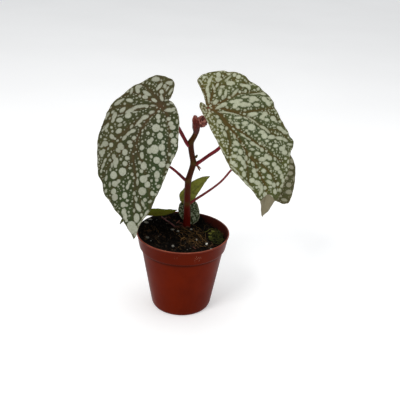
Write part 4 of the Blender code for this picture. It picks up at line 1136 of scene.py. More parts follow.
# ------------------------------------------------------------------ leaves
class Spots:
    """Pale spots of one leaf as ellipses in flat coordinates."""

    def __init__(self, surface, loop, lines):
        self.surface, self.loop, self.lines = surface, loop, lines
        self.centres, self.axes, self.tones = [], [], []
        low, high = loop.min(0) - 2, loop.max(0) + 2
        x, y = np.meshgrid(np.arange(low[0], high[0], 1.0), np.arange(low[1], high[1], 1.0))
        self.grid = np.column_stack([x.ravel(), y.ravel()])
        near, _, _ = to_lines(self.grid, loop, np.roll(loop, -1, axis=0))
        self.grid = self.grid[inside(self.grid, loop) | (near < 3.0)]
        point, normal = surface.frame(self.grid[:, 0], self.grid[:, 1])
        self.seen = picture(point)
        toward = EYE / MM - point
        self.faces = (toward * normal).sum(1) > 0

    def flat(self, target):
        """Flat coordinates of the leaf's point that lies at this place in the picture."""
        away = np.linalg.norm(self.seen - target, axis=1) + np.where(self.faces, 0, 50)
        q = self.grid[int(np.argmin(away))].copy()
        for _ in range(5):
            here = picture(self.surface(q[0], q[1]))
            jac = np.stack(
                [
                    (picture(self.surface(q[0] + 0.1, q[1])) - here) / 0.1,
                    (picture(self.surface(q[0], q[1] + 0.1)) - here) / 0.1,
                ],
                -1,
            )
            if abs(np.linalg.det(jac)) < 1e-3:
                break
            move = np.linalg.solve(jac, np.asarray(target) - here)
            size = np.linalg.norm(move)
            q = q + move * min(1.0, 3.0 / max(size, 1e-9))
        return q

    def place(self, centre, half, wide, tilt, tone):
        """A spot given in the picture's own pixels."""
        turn = math.radians(tilt)
        long = np.array([math.cos(turn), math.sin(turn)]) * half
        broad = np.array([-math.sin(turn), math.cos(turn)]) * wide
        middle = self.flat(centre)
        here = picture(self.surface(*middle))
        jac = np.stack(
            [
                (picture(self.surface(middle[0] + 0.1, middle[1])) - here) / 0.1,
                (picture(self.surface(middle[0], middle[1] + 0.1)) - here) / 0.1,
            ],
            -1,
        )
        if abs(np.linalg.det(jac)) < 0.12:
            return
        axes = np.linalg.solve(jac, np.stack([long, broad], -1))
        self.add(middle, axes, tone)

    def add(self, centre, axes, tone):
        self.centres.append(np.asarray(centre, float))
        self.axes.append(np.asarray(axes, float))
        self.tones.append(tone)

    def field(self, points):
        """Signed distance in mm (positive in a spot) and the tone of the nearest spot."""
        best = np.full(len(points), -9.0)
        tone = np.full(len(points), 0.7)
        total = np.zeros(len(points))
        for centre, axes, shade in zip(self.centres, self.axes, self.tones):
            sizes = np.linalg.svd(axes, compute_uv=False)
            reach = sizes[0] + 3.0
            box = (np.abs(points - centre) < reach).all(1)
            if not box.any():
                continue
            local = np.linalg.solve(axes, (points[box] - centre).T).T
            far = np.linalg.norm(local, axis=1)
            signed = (1 - far) * sizes[1]
            # soft union, so that neighbours run together
            old = best[box]
            k = 0.28
            blend = np.clip(0.5 + 0.5 * (signed - old) / k, 0, 1)
            joined = old * (1 - blend) + signed * blend + k * blend * (1 - blend)
            best[box] = joined
            weight = np.exp(np.clip(signed * 3.0, -20, 6))
            tone_box = tone[box] * total[box] + shade * weight
            total[box] += weight
            tone[box] = tone_box / np.maximum(total[box], 1e-9)
        return best, tone

    def scatter(self, seed, tries, radii, stretch, clear, gap, tones, where=None, merge=0.0):
        """Adds spots at random where there is room, longer ones near the stalk."""
        rand = random.Random(seed)
        low, high = self.loop.min(0), self.loop.max(0)
        starts, ends = self.lines
        candidates = np.array(
            [[rand.uniform(low[0], high[0]), rand.uniform(low[1], high[1])] for _ in range(tries)]
        )
        ok = inside(candidates, self.loop)
        candidates = candidates[ok]
        if where is not None:
            candidates = candidates[where(candidates[:, 0], candidates[:, 1])]
        away_vein, _, _ = to_lines(candidates, starts, ends)
        away_edge, _, _ = to_lines(candidates, self.loop, np.roll(self.loop, -1, axis=0))
        field, _ = self.field(candidates)
        added = []
        for k, point in enumerate(candidates):
            radius = rand.uniform(*radii) ** 1.0
            long = 1 + stretch * rand.random() * math.exp(-np.linalg.norm(point) / 30)
            turn = math.atan2(point[1], point[0]) + rand.uniform(-0.25, 0.25)
            tone = rand.uniform(*tones)
            if away_vein[k] < radius * 0.8 + clear or away_edge[k] < radius * 0.4:
                continue
            if field[k] > -(radius + gap) and rand.random() > merge:
                continue
            if any(np.linalg.norm(point - other) < radius + size + gap for other, size in added) and rand.random() > merge:
                continue
            axes = np.array(
                [
                    [math.cos(turn) * radius * long, -math.sin(turn) * radius],
                    [math.sin(turn) * radius * long, math.cos(turn) * radius],
                ]
            )
            added.append((point, radius * (1 + (long - 1) * 0.5)))
            self.add(point, axes, tone)


def vein_lines(veins):
    """Segments of the veins with their widths: starts, ends and widths at both ends."""
    starts, ends, first, last = [], [], [], []
    for vein in veins:
        width_a, width_b = vein[-2:]
        line = resample(np.array(vein[:-2], float), 2.0)
        widths = np.linspace(width_a, width_b, len(line))
        starts.extend(line[:-1])
        ends.extend(line[1:])
        first.extend(widths[:-1])
        last.extend(widths[1:])
    return np.array(starts), np.array(ends), np.array(first), np.array(last)


def default_veins(loop, seed, count=7, sinus=0.0):
    """Veins for a leaf that no outline was drawn for: a midrib and side veins fanning out."""
    rand = random.Random(seed)
    tip = loop[int(np.argmax(loop[:, 1]))]
    middle = np.array([[0, 0], [tip[0] * 0.2, tip[1] * 0.4], tip], float)
    veins = [(*map(tuple, middle), 1.2, 0.4)]
    span = np.linalg.norm(loop, axis=1)
    for k in range(count):
        for side in (-1, 1):
            turn = math.radians(28 + 118 * k / max(count - 1, 1) + rand.uniform(-6, 6))
            way = np.array([side * math.sin(turn), math.cos(turn)])
            start = np.array([0.0, 0.0]) if turn > 1.0 else middle[1] * (0.9 - turn * 0.8)
            along = loop @ way
            across = np.abs(loop[:, 0] * way[1] - loop[:, 1] * way[0])
            hits = (along > 0) & (across < span.max() * 0.12)
            if not hits.any():
                continue
            reach = along[hits].max() * 0.93
            end = way * reach
            if np.linalg.norm(end - start) < 3:
                continue
            bow = (start + end) / 2 + np.array([way[1], -way[0]]) * side * rand.uniform(0.4, 1.2)
            veins.append((tuple(start), tuple(bow), tuple(end), 0.9, 0.35))
    return veins


def build_leaf(key, mats, spacing, tint_of, spots_of, thickness=0.5, relief=0.32, quilt=0.55, flutter=0.9, tip_fold=None):
    """One leaf: top, underside and the thin margin between them."""
    surface = Blade(LEAVES[key])
    loop = outline_loop(key, spacing * 0.9)
    # faintly toothed, uneven margin
    step_along = np.arange(len(loop))
    out = np.roll(loop, -2, axis=0) - np.roll(loop, 2, axis=0)
    out = np.column_stack([-out[:, 1], out[:, 0]])
    out /= np.linalg.norm(out, axis=1)[:, None]
    size = np.ptp(loop[:, 1])
    tooth = 0.10 * np.sin(step_along * 0.55) + 0.12 * waves(step_along * 1.0, step_along * 0.0, 23.0, key + "edge")
    loop = loop + out * (tooth * min(1.0, size / 60))[:, None]

    flat, faces = flat_mesh(loop, spacing)
    veins = VEINS.get(key) or default_veins(loop, key)
    starts, ends, wide_a, wide_b = vein_lines(veins)
    away, which, place = to_lines(flat, starts, ends)
    width = wide_a[which] * (1 - place) + wide_b[which] * place
    edge, _, _ = to_lines(flat, loop, np.roll(loop, -1, axis=0))
    ring = {(round(p[0], 4), round(p[1], 4)) for p in loop.tolist()}
    on_rim = np.array([(round(p[0], 4), round(p[1], 4)) in ring for p in flat.tolist()])
    edge[on_rim] = 0.0

    x, y = flat[:, 0], flat[:, 1]
    groove = np.exp(-((away / (width * 0.75 + 0.15)) ** 2)) * np.clip(width / 1.6, 0.25, 1.2)
    pillow = step(0.2, 5.5, away) * quilt
    scale = min(1.0, size / 100)
    height = (
        -relief * groove
        + pillow
        + 0.55 * scale * waves(x, y, 34.0, key + "big")
        + 0.16 * waves(x, y, 9.0, key + "mid", 7)
        + 0.05 * waves(x, y, 3.2, key + "low", 7)
        + flutter * scale * np.exp(-edge / 7.0) * waves(x, y, 21.0, key + "rim", 4)
    )
    if tip_fold is not None:
        height = height + tip_fold(x, y)
    point, normal = surface.frame(x, y)
    top = point + normal * (height - 0.25)[:, None]
    thick = thickness * (0.35 + 0.65 * step(0.0, 2.5, edge)) + 0.28 * groove
    bottom = top - normal * thick[:, None]

    count = len(flat)
    points = np.vstack([top, bottom])
    all_faces = [tuple(f[::-1]) for f in faces.tolist()]
    slots = [0] * len(all_faces)
    all_faces += [tuple(i + count for i in f) for f in faces.tolist()]
    slots += [1] * len(faces)
    for a, b in rim_edges(faces):
        all_faces.append((a, b, b + count, a + count))
        slots.append(1)
    if tip_fold is not None:
        middle = flat[faces].mean(1)
        folded = tip_fold(middle[:, 0], middle[:, 1]) < -0.35
        for k in np.nonzero(folded)[0]:
            slots[int(k)] = 2

    spots = Spots(surface, loop, (starts, ends))
    spots_of(spots)
    field, tone = spots.field(flat)
    strength = np.exp(-((away / (width * 0.62 + 0.1)) ** 2)) * np.clip(width / 1.5, 0.2, 1.0)
    tint = tint_of(x, y, away, edge)
    both = lambda values: np.concatenate([values, values])
    obj = mesh_piece(
        f"begonia_leaf_{key}",
        points,
        all_faces,
        mats,
        slots,
        {
            "flat": np.column_stack([both(x), both(y), np.concatenate([np.zeros(count), np.full(count, 40.0)])]),
            "spot": both(field),
            "tone": both(tone),
            "vein": both(strength),
            "edge": both(edge),
            "tint": np.vstack([tint, tint]),
        },
    )
    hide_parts(f"leaf_{key}")
    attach(obj, "root")
    return obj, surface


def blend_tints(*layers):
    """Mixes colours over one another: (colour, amount 0-1 for each point)."""
    result = np.array(layers[0][0], float)[None, :] * np.ones((len(np.atleast_1d(layers[1][1])), 1))
    for colour, amount in layers[1:]:
        amount = np.clip(amount, 0, 1)[:, None]
        result = result * (1 - amount) + np.array(colour, float) * amount
    return result


def picture_spots(key):
    def add(spots):
        corner = np.array(SPOT_CORNERS[key])
        for x, y, half, wide, tilt, tone in SPOTS[key]:
            spots.place(corner + np.array([x, y]) / SPOT_ZOOM, half / SPOT_ZOOM, wide / SPOT_ZOOM, tilt, tone)
    return add


def left_tint(x, y, away, edge):
    far = np.hypot(x, y)
    return blend_tints(
        (rgb(52, 62, 30), 1),
        (rgb(74, 68, 34), step(-2, -40, x) * 0.85),
        (rgb(72, 68, 32), step(10, -22, y) * 0.8),
        (rgb(50, 70, 42), step(0, 22, x) * step(5, 30, y) * 0.9),
        (rgb(44, 62, 22), step(45, 85, y) * 0.75),
        (rgb(66, 56, 40), np.exp(-(((x + 9) / 9) ** 2)) * step(8, 20, y) * step(75, 45, y) * 0.6),
        (rgb(82, 66, 32), np.exp(-edge / 1.5) * 0.4),
        (rgb(74, 58, 30), np.exp(-((away / 2.3) ** 2)) * (0.75 - 0.25 * step(30, 70, y))),
        (rgb(86, 54, 36), np.exp(-far / 7.0) * 0.9),
    )


def right_tint(x, y, away, edge):
    far = np.hypot(x, y)
    return blend_tints(
        (rgb(72, 82, 46), 1),
        (rgb(106, 100, 44), step(2, -26, y) * 0.85),
        (rgb(106, 100, 42), step(4, -8, x) * 0.75),
        (rgb(68, 80, 54), np.exp(-(((x - 28) / 20) ** 2) - ((y - 30) / 30) ** 2) * 0.85),
        (rgb(80, 88, 38), step(50, 90, y) * 0.7),
        (rgb(98, 92, 40), np.exp(-edge / 4.0) * 0.5),
        (rgb(82, 68, 22), np.exp(-((away / 2.3) ** 2)) * 0.75),
        (rgb(122, 62, 42), np.exp(-far / 5.0) * 0.85),
    )


def back_tint(x, y, away, edge):
    return blend_tints(
        (rgb(84, 78, 48), 1),
        (rgb(76, 84, 40), step(30, 60, y)),
        (rgb(110, 92, 66), np.exp(-edge / 3.0) * 0.6),
    )


def back_left_tint(x, y, away, edge):
    return blend_tints((rgb(56, 64, 34), 1), (rgb(76, 66, 36), np.exp(-edge / 3.0) * 0.5))


def young_tint(x, y, away, edge):
    return blend_tints(
        (rgb(134, 140, 48), 1),
        (rgb(86, 92, 32), step(0.0, 0.7, waves(x, y, 7.0, "youngdark", 3)) * 0.55),
        (rgb(86, 92, 30), step(17, 30, y) * 0.85),
        (rgb(112, 112, 46), step(4, -5, y) * 0.7),
        (rgb(168, 180, 84), np.exp(-(((y - 4) / 5) ** 2)) * 0.6),
        (rgb(92, 96, 28), np.exp(-((away / 0.9) ** 2)) * 0.55),
        (rgb(160, 152, 92), np.exp(-edge / 0.6) * 0.45),
    )


def small_tint(x, y, away, edge):
    return blend_tints((rgb(62, 80, 42), 1), (rgb(50, 62, 26), np.exp(-((away / 1.0) ** 2)) * 0.6), (rgb(130, 118, 84), np.exp(-edge / 0.6) * 0.5))


def low_tint(x, y, away, edge):
    return blend_tints(
        (rgb(74, 72, 20), 1),
        (rgb(78, 92, 24), step(-6, -16, x) * 0.7),
        (rgb(42, 48, 10), step(28, 40, y) * 0.7),
    )


def fold_of_right(x, y):
    """The pointed end lies a little behind a sharp fold."""
    line = smooth(x, (-5, 4, 6.2, 8.7, 12.1, 15.2, 16.8, 18.5, 20.4, 26, 40), (93.0, 92.0, 91.4, 90.6, 90.1, 89.9, 90.6, 94.4, 98.9, 112.0, 140.0))
    return -1.1 * step(-0.35, 0.35, y - line)


# ------------------------------------------------------------------ pot and soil
def turned_piece(name, profile, steps, mats, slot_of=None, joins=()):
    """A closed profile of (radius, height) in mm turned about Z."""
    turn = np.linspace(0, 2 * math.pi, steps, endpoint=False)
    points, faces, slots = [], [], []
    rings = []
    for r, z in profile:
        if r < 1e-6:
            rings.append([len(points)])
            points.append((0.0, 0.0, z))
        else:
            rings.append(list(range(len(points), len(points) + steps)))
            points.extend((r * math.cos(a), r * math.sin(a), z) for a in turn)
    for k in range(len(profile) - 1):
        a, b = rings[k], rings[k + 1]
        slot = slot_of(k) if slot_of else 0
        for j in range(steps):
            n = (j + 1) % steps
            if len(a) == 1 and len(b) == 1:
                continue
            if len(a) == 1:
                faces.append((a[0], b[j], b[n]))
            elif len(b) == 1:
                faces.append((a[j], b[0], a[n]))
            else:
                faces.append((a[j], b[j], b[n], a[n]))
            slots.append(slot)
    return np.array(points), faces, slots


def rounded(profile, radius, steps=3):
    """The profile with its inner corners rounded; a corner sharper than its sides allow gets less."""
    points = [np.array(p, float) for p in profile]
    made = [points[0]]
    for k in range(1, len(points) - 1):
        before, here, after = points[k - 1 : k + 2]
        a, b = before - here, after - here
        reach = min(radius, np.linalg.norm(a) * 0.45, np.linalg.norm(b) * 0.45)
        a = here + a / np.linalg.norm(a) * reach
        b = here + b / np.linalg.norm(b) * reach
        for u in np.linspace(0, 1, steps + 1):
            made.append((1 - u) ** 2 * a + 2 * u * (1 - u) * here + u * u * b)
    made.append(points[-1])
    return made


def build_pot():
    wall = WALL_MM
    inner = [
        (0.0, FLOOR_MM),
        (BASE_RADIUS_MM + 0.4, FLOOR_MM),
        (BODY_TOP_RADIUS_MM - wall, BODY_TOP_Z_MM + 0.2),
        (COLLAR_FOOT_RADIUS_MM - wall - 1.0, COLLAR_FOOT_Z_MM - 0.4),
        (COLLAR_FOOT_RADIUS_MM - wall, COLLAR_FOOT_Z_MM + 0.6),
        (RIM_RADIUS_MM - wall - 0.7, POT_HEIGHT_MM - 1.6),
        (RIM_RADIUS_MM - wall - 0.2, POT_HEIGHT_MM - 0.4),
        (RIM_RADIUS_MM - wall + 0.3, POT_HEIGHT_MM),
    ]
    outer = [
        (RIM_RADIUS_MM - 0.4, POT_HEIGHT_MM),
        (RIM_RADIUS_MM, POT_HEIGHT_MM - 0.4),
        (RIM_RADIUS_MM - 0.1, POT_HEIGHT_MM - 1.2),
        (RIM_RADIUS_MM - 0.7, POT_HEIGHT_MM - 1.7),
        (COLLAR_FOOT_RADIUS_MM + 0.3, COLLAR_FOOT_Z_MM + 1.4),
        (COLLAR_FOOT_RADIUS_MM, COLLAR_FOOT_Z_MM + 0.3),
        (COLLAR_FOOT_RADIUS_MM - 0.45, COLLAR_FOOT_Z_MM - 0.35),
        (BODY_TOP_RADIUS_MM + 0.35, BODY_TOP_Z_MM + 1.1),
        (BODY_TOP_RADIUS_MM, BODY_TOP_Z_MM - 0.3),
        (BASE_RADIUS_MM + 2.0, 3.0),
        (BASE_RADIUS_MM + 0.9, 0.5),
        (BASE_RADIUS_MM, 0.0),
        (BASE_RADIUS_MM - 3.0, 0.0),
        (BASE_RADIUS_MM - 4.0, RECESS_MM),
        (9.0, RECESS_MM),
        (8.0, 0.0),
        (0.0, 0.0),
    ]
    profile = rounded(inner + outer, 0.9)
    split = next(k for k, p in enumerate(profile) if p[0] >= RIM_RADIUS_MM - wall + 0.2)
    dense = [profile[0]]
    marks = [0]
    for k, (a, b) in enumerate(zip(profile[:-1], profile[1:])):
        pieces = max(1, int(np.linalg.norm(np.subtract(b, a)) / 6.0))
        for j in range(1, pieces + 1):
            dense.append(np.asarray(a) + (np.asarray(b) - np.asarray(a)) * j / pieces)
            marks.append(1 if k >= split else 0)
    points, faces, slots = turned_piece(
        "pot", dense, 160, None, lambda k: 0 if marks[min(k + 1, len(marks) - 1)] else 1
    )
    outside, within = pot_material(), pot_inside_shaded_material()
    obj = mesh_piece("nursery_pot", points, faces, [outside, within], slots)
    cleaned = bmesh.new()
    cleaned.from_mesh(obj.data)
    bmesh.ops.recalc_face_normals(cleaned, faces=cleaned.faces)
    cleaned.to_mesh(obj.data)
    cleaned.free()
    # drain holes, cut like the CAD's
    for k in range(6):
        turn = 2 * math.pi * (k + 0.5) / 6
        bpy.ops.mesh.primitive_cylinder_add(
            vertices=32,
            radius=2.5 * MM,
            depth=8 * MM,
            location=(14.5 * MM * math.cos(turn), 14.5 * MM * math.sin(turn), 2 * MM),
        )
        drill = bpy.context.object
        drill.data.materials.append(outside)
        cut = obj.modifiers.new(f"drain_{k}", "BOOLEAN")
        cut.operation = "DIFFERENCE"
        cut.solver = "EXACT"
        cut.object = drill
    graph = bpy.context.evaluated_depsgraph_get()
    mesh = bpy.data.meshes.new_from_object(obj.evaluated_get(graph))
    for modifier in list(obj.modifiers):
        drill = modifier.object
        obj.modifiers.remove(modifier)
        bpy.data.objects.remove(drill, do_unlink=True)
    obj.data = mesh
    mesh.shade_smooth()
    mesh.set_sharp_from_angle(angle=math.radians(50))
    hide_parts("pot")
    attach(obj, "root")
    return obj


def ease(u):
    """A smooth step from 0 to 1."""
    u = min(max(u, 0.0), 1.0)
    return u * u * (3 - 2 * u)


def soil_height(x, y):
    left = min(max((8.0 - x + 0.02 * max(y, 0.0) * max(-x, 0.0)) / 42.0, 0.0), 1.0)
    away = (x - STEM_X_MM) ** 2 + (y - STEM_Y_MM) ** 2
    rear = min(max((x + y - 22.0) / 34.0, 0.0), 1.0)
    height = (
        SOIL_Z_MM
        + SOIL_LEFT_RISE_MM * left * left * (3 - 2 * left)
        + SOIL_MOUND_MM * math.exp(-away / (2 * 8.5**2))
        - 0.7 * rear
    )
    # a bank against the wall, from the left side round the back, nearly up to the lip
    rise = ease((math.hypot(x, y) - 31.0) / 7.5) * ease((y + 8.0) / 14.0)
    bank = rise * (0.8 * ease((23.0 - x) / 7.0) + 0.2 * ease((32.0 - x) / 8.0))
    return height + max(SOIL_BANK_Z_MM - height, 0.0) * bank


def soil_relief(x, y):
    """Crumbs and hollows of the soil's surface, in mm."""
    lump = noise.fractal(Vector((x * 0.13, y * 0.13, 3.1)), 0.9, 2.1, 4)
    crumb = noise.turbulence(Vector((x * 0.42, y * 0.42, 8.7)), 4, True)
    grit = noise.noise(Vector((x * 1.7, y * 1.7, 1.2)))
    return 0.9 * lump + 1.3 * (crumb - 0.55) + 0.22 * grit


def soil_top(x, y):
    radius = math.hypot(x, y)
    fade = 1 - min(max((radius - 37.4) / 1.4, 0.0), 1.0)
    return soil_height(x, y) - 0.45 + soil_relief(x, y) * (0.35 + 0.65 * fade)


def wall_radius(z):
    """Radius of the soil's side at this height, just inside the pot's wall."""
    gap = 0.12
    if z < BODY_TOP_Z_MM:
        u = (z - FLOOR_MM) / (BODY_TOP_Z_MM - FLOOR_MM)
        return BASE_RADIUS_MM + 0.4 + (BODY_TOP_RADIUS_MM - WALL_MM - BASE_RADIUS_MM - 0.4) * u - gap
    foot = COLLAR_FOOT_RADIUS_MM - WALL_MM
    if z < COLLAR_FOOT_Z_MM + 0.6:
        u = (z - BODY_TOP_Z_MM) / (COLLAR_FOOT_Z_MM + 0.6 - BODY_TOP_Z_MM)
        return BODY_TOP_RADIUS_MM - WALL_MM + (foot - BODY_TOP_RADIUS_MM + WALL_MM) * u - gap
    u = (z - COLLAR_FOOT_Z_MM - 0.6) / (POT_HEIGHT_MM - 1.6 - COLLAR_FOOT_Z_MM - 0.6)
    return foot + (RIM_RADIUS_MM - 0.7 - COLLAR_FOOT_RADIUS_MM) * u - gap


def build_soil():
    spacing = 0.62 * FINE
    rings = [0.0]
    while rings[-1] < 1.0 - 1e-6:
        rings.append(min(1.0, rings[-1] + spacing / 39.0))
    steps = 240 if FINE == 1 else 150
    points, faces = [], []
    index = []
    for k, u in enumerate(rings):
        count = 1 if k == 0 else steps
        row = []
        for j in range(count):
            turn = 2 * math.pi * (j + 0.5 * (k % 2)) / steps
            way = (math.cos(turn), math.sin(turn))
            reach = u * wall_radius(soil_height(38 * way[0], 38 * way[1]))
            x, y = reach * way[0], reach * way[1]
            row.append(len(points))
            points.append((x, y, soil_top(x, y)))
        index.append(row)
    for k in range(1, len(index)):
        inner, outer = index[k - 1], index[k]
        for j in range(steps):
            n = (j + 1) % steps
            if len(inner) == 1:
                faces.append((inner[0], outer[j], outer[n]))
            elif k % 2:
                faces.append((inner[j], outer[j], inner[n]))
                faces.append((outer[j], outer[n], inner[n]))
            else:
                faces.append((inner[j], outer[j], outer[n]))
                faces.append((inner[j], outer[n], inner[n]))
    above = index[-1]
    for z in (62.0, COLLAR_FOOT_Z_MM + 0.6, BODY_TOP_Z_MM, 40.0, 20.0, FLOOR_MM + 0.25):
        row = []
        for j in range(steps):
            x, y, _ = points[above[j]]
            size = math.hypot(x, y)
            reach = wall_radius(z)
            row.append(len(points))
            points.append((x / size * reach, y / size * reach, z))
        for j in range(steps):
            n = (j + 1) % steps
            faces.append((above[j], row[j], row[n], above[n]))
        above = row
    low = len(points)
    points.append((0, 0, FLOOR_MM + 0.25))
    for j in range(steps):
        faces.append((above[j], low, above[(j + 1) % steps]))
    obj = mesh_piece(
        "peat_soil",
        np.array(points),
        faces,
        [soil_material("peat", rgb(4, 3, 2), rgb(16, 11, 7), rgb(44, 33, 22))],
    )
    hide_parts("soil")
    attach(obj, "root")
    return obj


ICO = {}


def lump(rand, size, squash=(1, 1, 1), rough=0.35, level=1):
    """A rough grain: an icosphere with its points pushed about."""
    if level not in ICO:
        made = bmesh.new()
        bmesh.ops.create_icosphere(made, subdivisions=level, radius=1.0)
        ICO[level] = (
            np.array([tuple(v.co) for v in made.verts]),
            [tuple(v.index for v in f.verts) for f in made.faces],
        )
        made.free()
    points, faces = ICO[level]
    seed = rand.uniform(0, 90)
    push = np.array([1 + rough * noise.noise(Vector(p) * 1.6 + Vector((seed, seed * 0.7, 3))) * 1.8 for p in points])
    made = points * push[:, None] * size * np.array(squash)
    turn = Matrix.Rotation(rand.uniform(0, 6.28), 3, "Z") @ Matrix.Rotation(rand.uniform(0, 6.28), 3, "X")
    return made @ np.array(turn).T, faces


def on_soil(px, py):
    """The soil's point (mm) that lies at this place in the picture."""
    way = EYE_AHEAD + EYE_RIGHT * (px - 200) / FOCAL_PX - EYE_UP * (py - 200) / FOCAL_PX
    z = 68.0
    for _ in range(12):
        reach = (z * MM - EYE[2]) / way[2]
        x, y = (EYE[:2] + way[:2] * reach) / MM
        z = soil_height(x, y)
    return x, y, soil_top(x, y)


def build_soil_bits():
    rand = random.Random(41)
    crumbs = Heap()
    for _ in range(620 if FINE == 1 else 350):
        turn, reach = rand.uniform(0, 2 * math.pi), math.sqrt(rand.random()) * 37.6
        x, y = reach * math.cos(turn), reach * math.sin(turn)
        if math.hypot(x - STEM_X_MM, y - STEM_Y_MM) < 4.0:
            continue
        size = 0.35 + 1.25 * rand.random() ** 3
        if reach > 37.6 - size:
            continue
        points, faces = lump(rand, size, (1, rand.uniform(0.6, 1), rand.uniform(0.5, 0.9)), 0.5)
        crumbs.add(points + (x, y, soil_top(x, y) + size * 0.15), faces, rand.random() ** 2.2)
    obj = crumbs.piece("soil_crumbs", [tinted_material("crumbs", rgb(10, 8, 6), rgb(60, 44, 28), 0.93, 0.7, 900.0)], False)
    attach(obj, "root")

    perlite = Heap()
    # as (x, y in the picture, half width and half height in mm, tint)
    seen = (
        (146.3, 222.3, 2.0, 1.15, 0.42), (150.2, 219.2, 1.6, 0.8, 0.44), (172.4, 229.8, 1.7, 1.0, 0.28), (178.0, 230.8, 1.4, 0.8, 0.30),
        (191.2, 229.3, 1.25, 0.8, 0.36), (173.0, 246.2, 1.25, 1.1, 0.34), (206.6, 244.2, 1.2, 1.25, 1.0), (196.7, 239.3, 0.75, 0.7, 0.62),
        (219.0, 231.2, 1.3, 0.6, 0.26), (211.6, 248.6, 1.6, 0.5, 0.30), (147.2, 237.1, 1.9, 1.3, 0.10), (150.9, 240.4, 0.8, 0.6, 0.16),
        (166.4, 223.1, 0.6, 0.45, 0.12), (187.3, 249.2, 0.7, 0.5, 0.10), (182.6, 233.8, 0.5, 0.4, 0.12), (160.4, 233.0, 0.45, 0.35, 0.06),
    )
    for px, py, wide, high, tint in seen:
        x, y, z = on_soil(px, py)
        points, faces = lump(rand, 1.0, (1.0, 1.0, 1.0), 0.30, 2)
        points = points * (wide, (wide + high) / 2, high)
        perlite.add(points + (x, y, z + high * 0.35), faces, tint)
    for _ in range(22):
        turn, reach = rand.uniform(0, 2 * math.pi), math.sqrt(rand.random()) * 36.0
        x, y = reach * math.cos(turn), reach * math.sin(turn)
        size = rand.uniform(0.25, 0.6)
        points, faces = lump(rand, size, (1.1, 0.9, 0.75), 0.45, 2)
        perlite.add(points + (x, y, soil_top(x, y) + size * 0.15), faces, rand.uniform(0.0, 0.2))
    obj = perlite.piece("perlite_grains", [tinted_material("perlite", rgb(58, 52, 42), rgb(212, 209, 198), 0.88, 0.6, 1300.0)])
    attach(obj, "root")

    # thin roots and fibres, most of them in a loose tangle in front of the stem
    fibres = Heap()
    spots = [(rand.uniform(181, 206), rand.uniform(229, 247)) for _ in range(70)]
    spots += [(rand.uniform(146, 222), rand.uniform(222, 252)) for _ in range(26)]
    for n, (px, py) in enumerate(spots):
        x, y, _ = on_soil(px, py)
        if math.hypot(x, y) > 34:
            continue
        turn = rand.uniform(0, 2 * math.pi)
        bend = rand.uniform(-0.25, 0.25)
        long = rand.uniform(4, 13)
        path = []
        for u in np.linspace(0, 1, 12):
            path.append((x, y, soil_top(x, y) + 0.25 + rand.uniform(0.0, 0.9) * math.sin(u * math.pi)))
            turn += bend + rand.uniform(-0.35, 0.35)
            x += math.cos(turn) * long / 11
            y += math.sin(turn) * long / 11
            if math.hypot(x, y) > 36.5:
                break
        if len(path) < 4:
            continue
        path = resample(np.array(path), 0.7)
        size = rand.uniform(0.07, 0.15)
        points, faces, _ = tube_mesh(path, np.linspace(size, size * 0.5, len(path)), 5)
        fibres.add(points, faces, rand.random())
    for px, py, qx, qy, size, tint in (
        (181.2, 239.6, 185.6, 237.2, 0.26, 1.0), (182.8, 237.8, 186.4, 238.8, 0.2, 0.9), (180.6, 228.2, 190.4, 231.6, 0.15, 0.8),
        (199.8, 234.4, 203.0, 240.4, 0.15, 0.8), (193.4, 228.4, 199.0, 236.0, 0.15, 0.8), (187.6, 231.0, 194.8, 233.6, 0.14, 0.7),
        (194.6, 231.0, 204.0, 234.0, 0.15, 0.85), (188.0, 235.4, 196.4, 238.4, 0.14, 0.7), (186.0, 243.4, 194.0, 240.4, 0.14, 0.7),
        (192.0, 240.6, 199.4, 246.0, 0.16, 0.75), (196.0, 226.6, 203.4, 232.6, 0.14, 0.6), (205.6, 233.6, 204.6, 243.0, 0.15, 0.75),
        (196.8, 240.8, 195.8, 246.6, 0.18, 0.8), (198.6, 236.4, 205.4, 237.8, 0.14, 0.7), (176.0, 233.6, 184.6, 232.0, 0.12, 0.5),
    ):
        a, b = on_soil(px, py), on_soil(qx, qy)
        line = [np.array(a) + (np.array(b) - np.array(a)) * u for u in np.linspace(0, 1, 7)]
        line = [(x + rand.uniform(-0.3, 0.3), y + rand.uniform(-0.3, 0.3), soil_top(x, y) + 0.5 + 0.8 * math.sin(k / 6 * math.pi)) for k, (x, y, _) in enumerate(line)]
        path = resample(np.array(line), 0.6)
        points, faces, _ = tube_mesh(path, np.linspace(size, size * 0.6, len(path)), 6)
        fibres.add(points, faces, tint)
    obj = fibres.piece("root_fibres", [tinted_material("fibres", rgb(44, 35, 19), rgb(142, 106, 62), 0.8, 0.3, 1500.0)])
    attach(obj, "root")

    # flakes of bark and dead leaf, most of them along the left rim
    bark = Heap()
    places = [(rand.uniform(139, 151), rand.uniform(229, 241)) for _ in range(12)]
    places += [(rand.uniform(148, 164), rand.uniform(225, 238)) for _ in range(12)]
    places += [(rand.uniform(150, 220), rand.uniform(216, 252)) for _ in range(18)]
    for px, py in places:
        x, y, _ = on_soil(px, py)
        if math.hypot(x, y) > 36:
            continue
        size = rand.uniform(0.7, 1.8)
        points, faces = lump(rand, size, (1.3, 0.6, 0.22), 0.35, 2)
        bark.add(points + (x, y, soil_top(x, y) + 0.35), faces, rand.random() ** 2.2)
    obj = bark.piece("bark_flakes", [tinted_material("bark", rgb(16, 11, 8), rgb(84, 58, 38), 0.9, 0.6, 700.0)])
    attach(obj, "root")

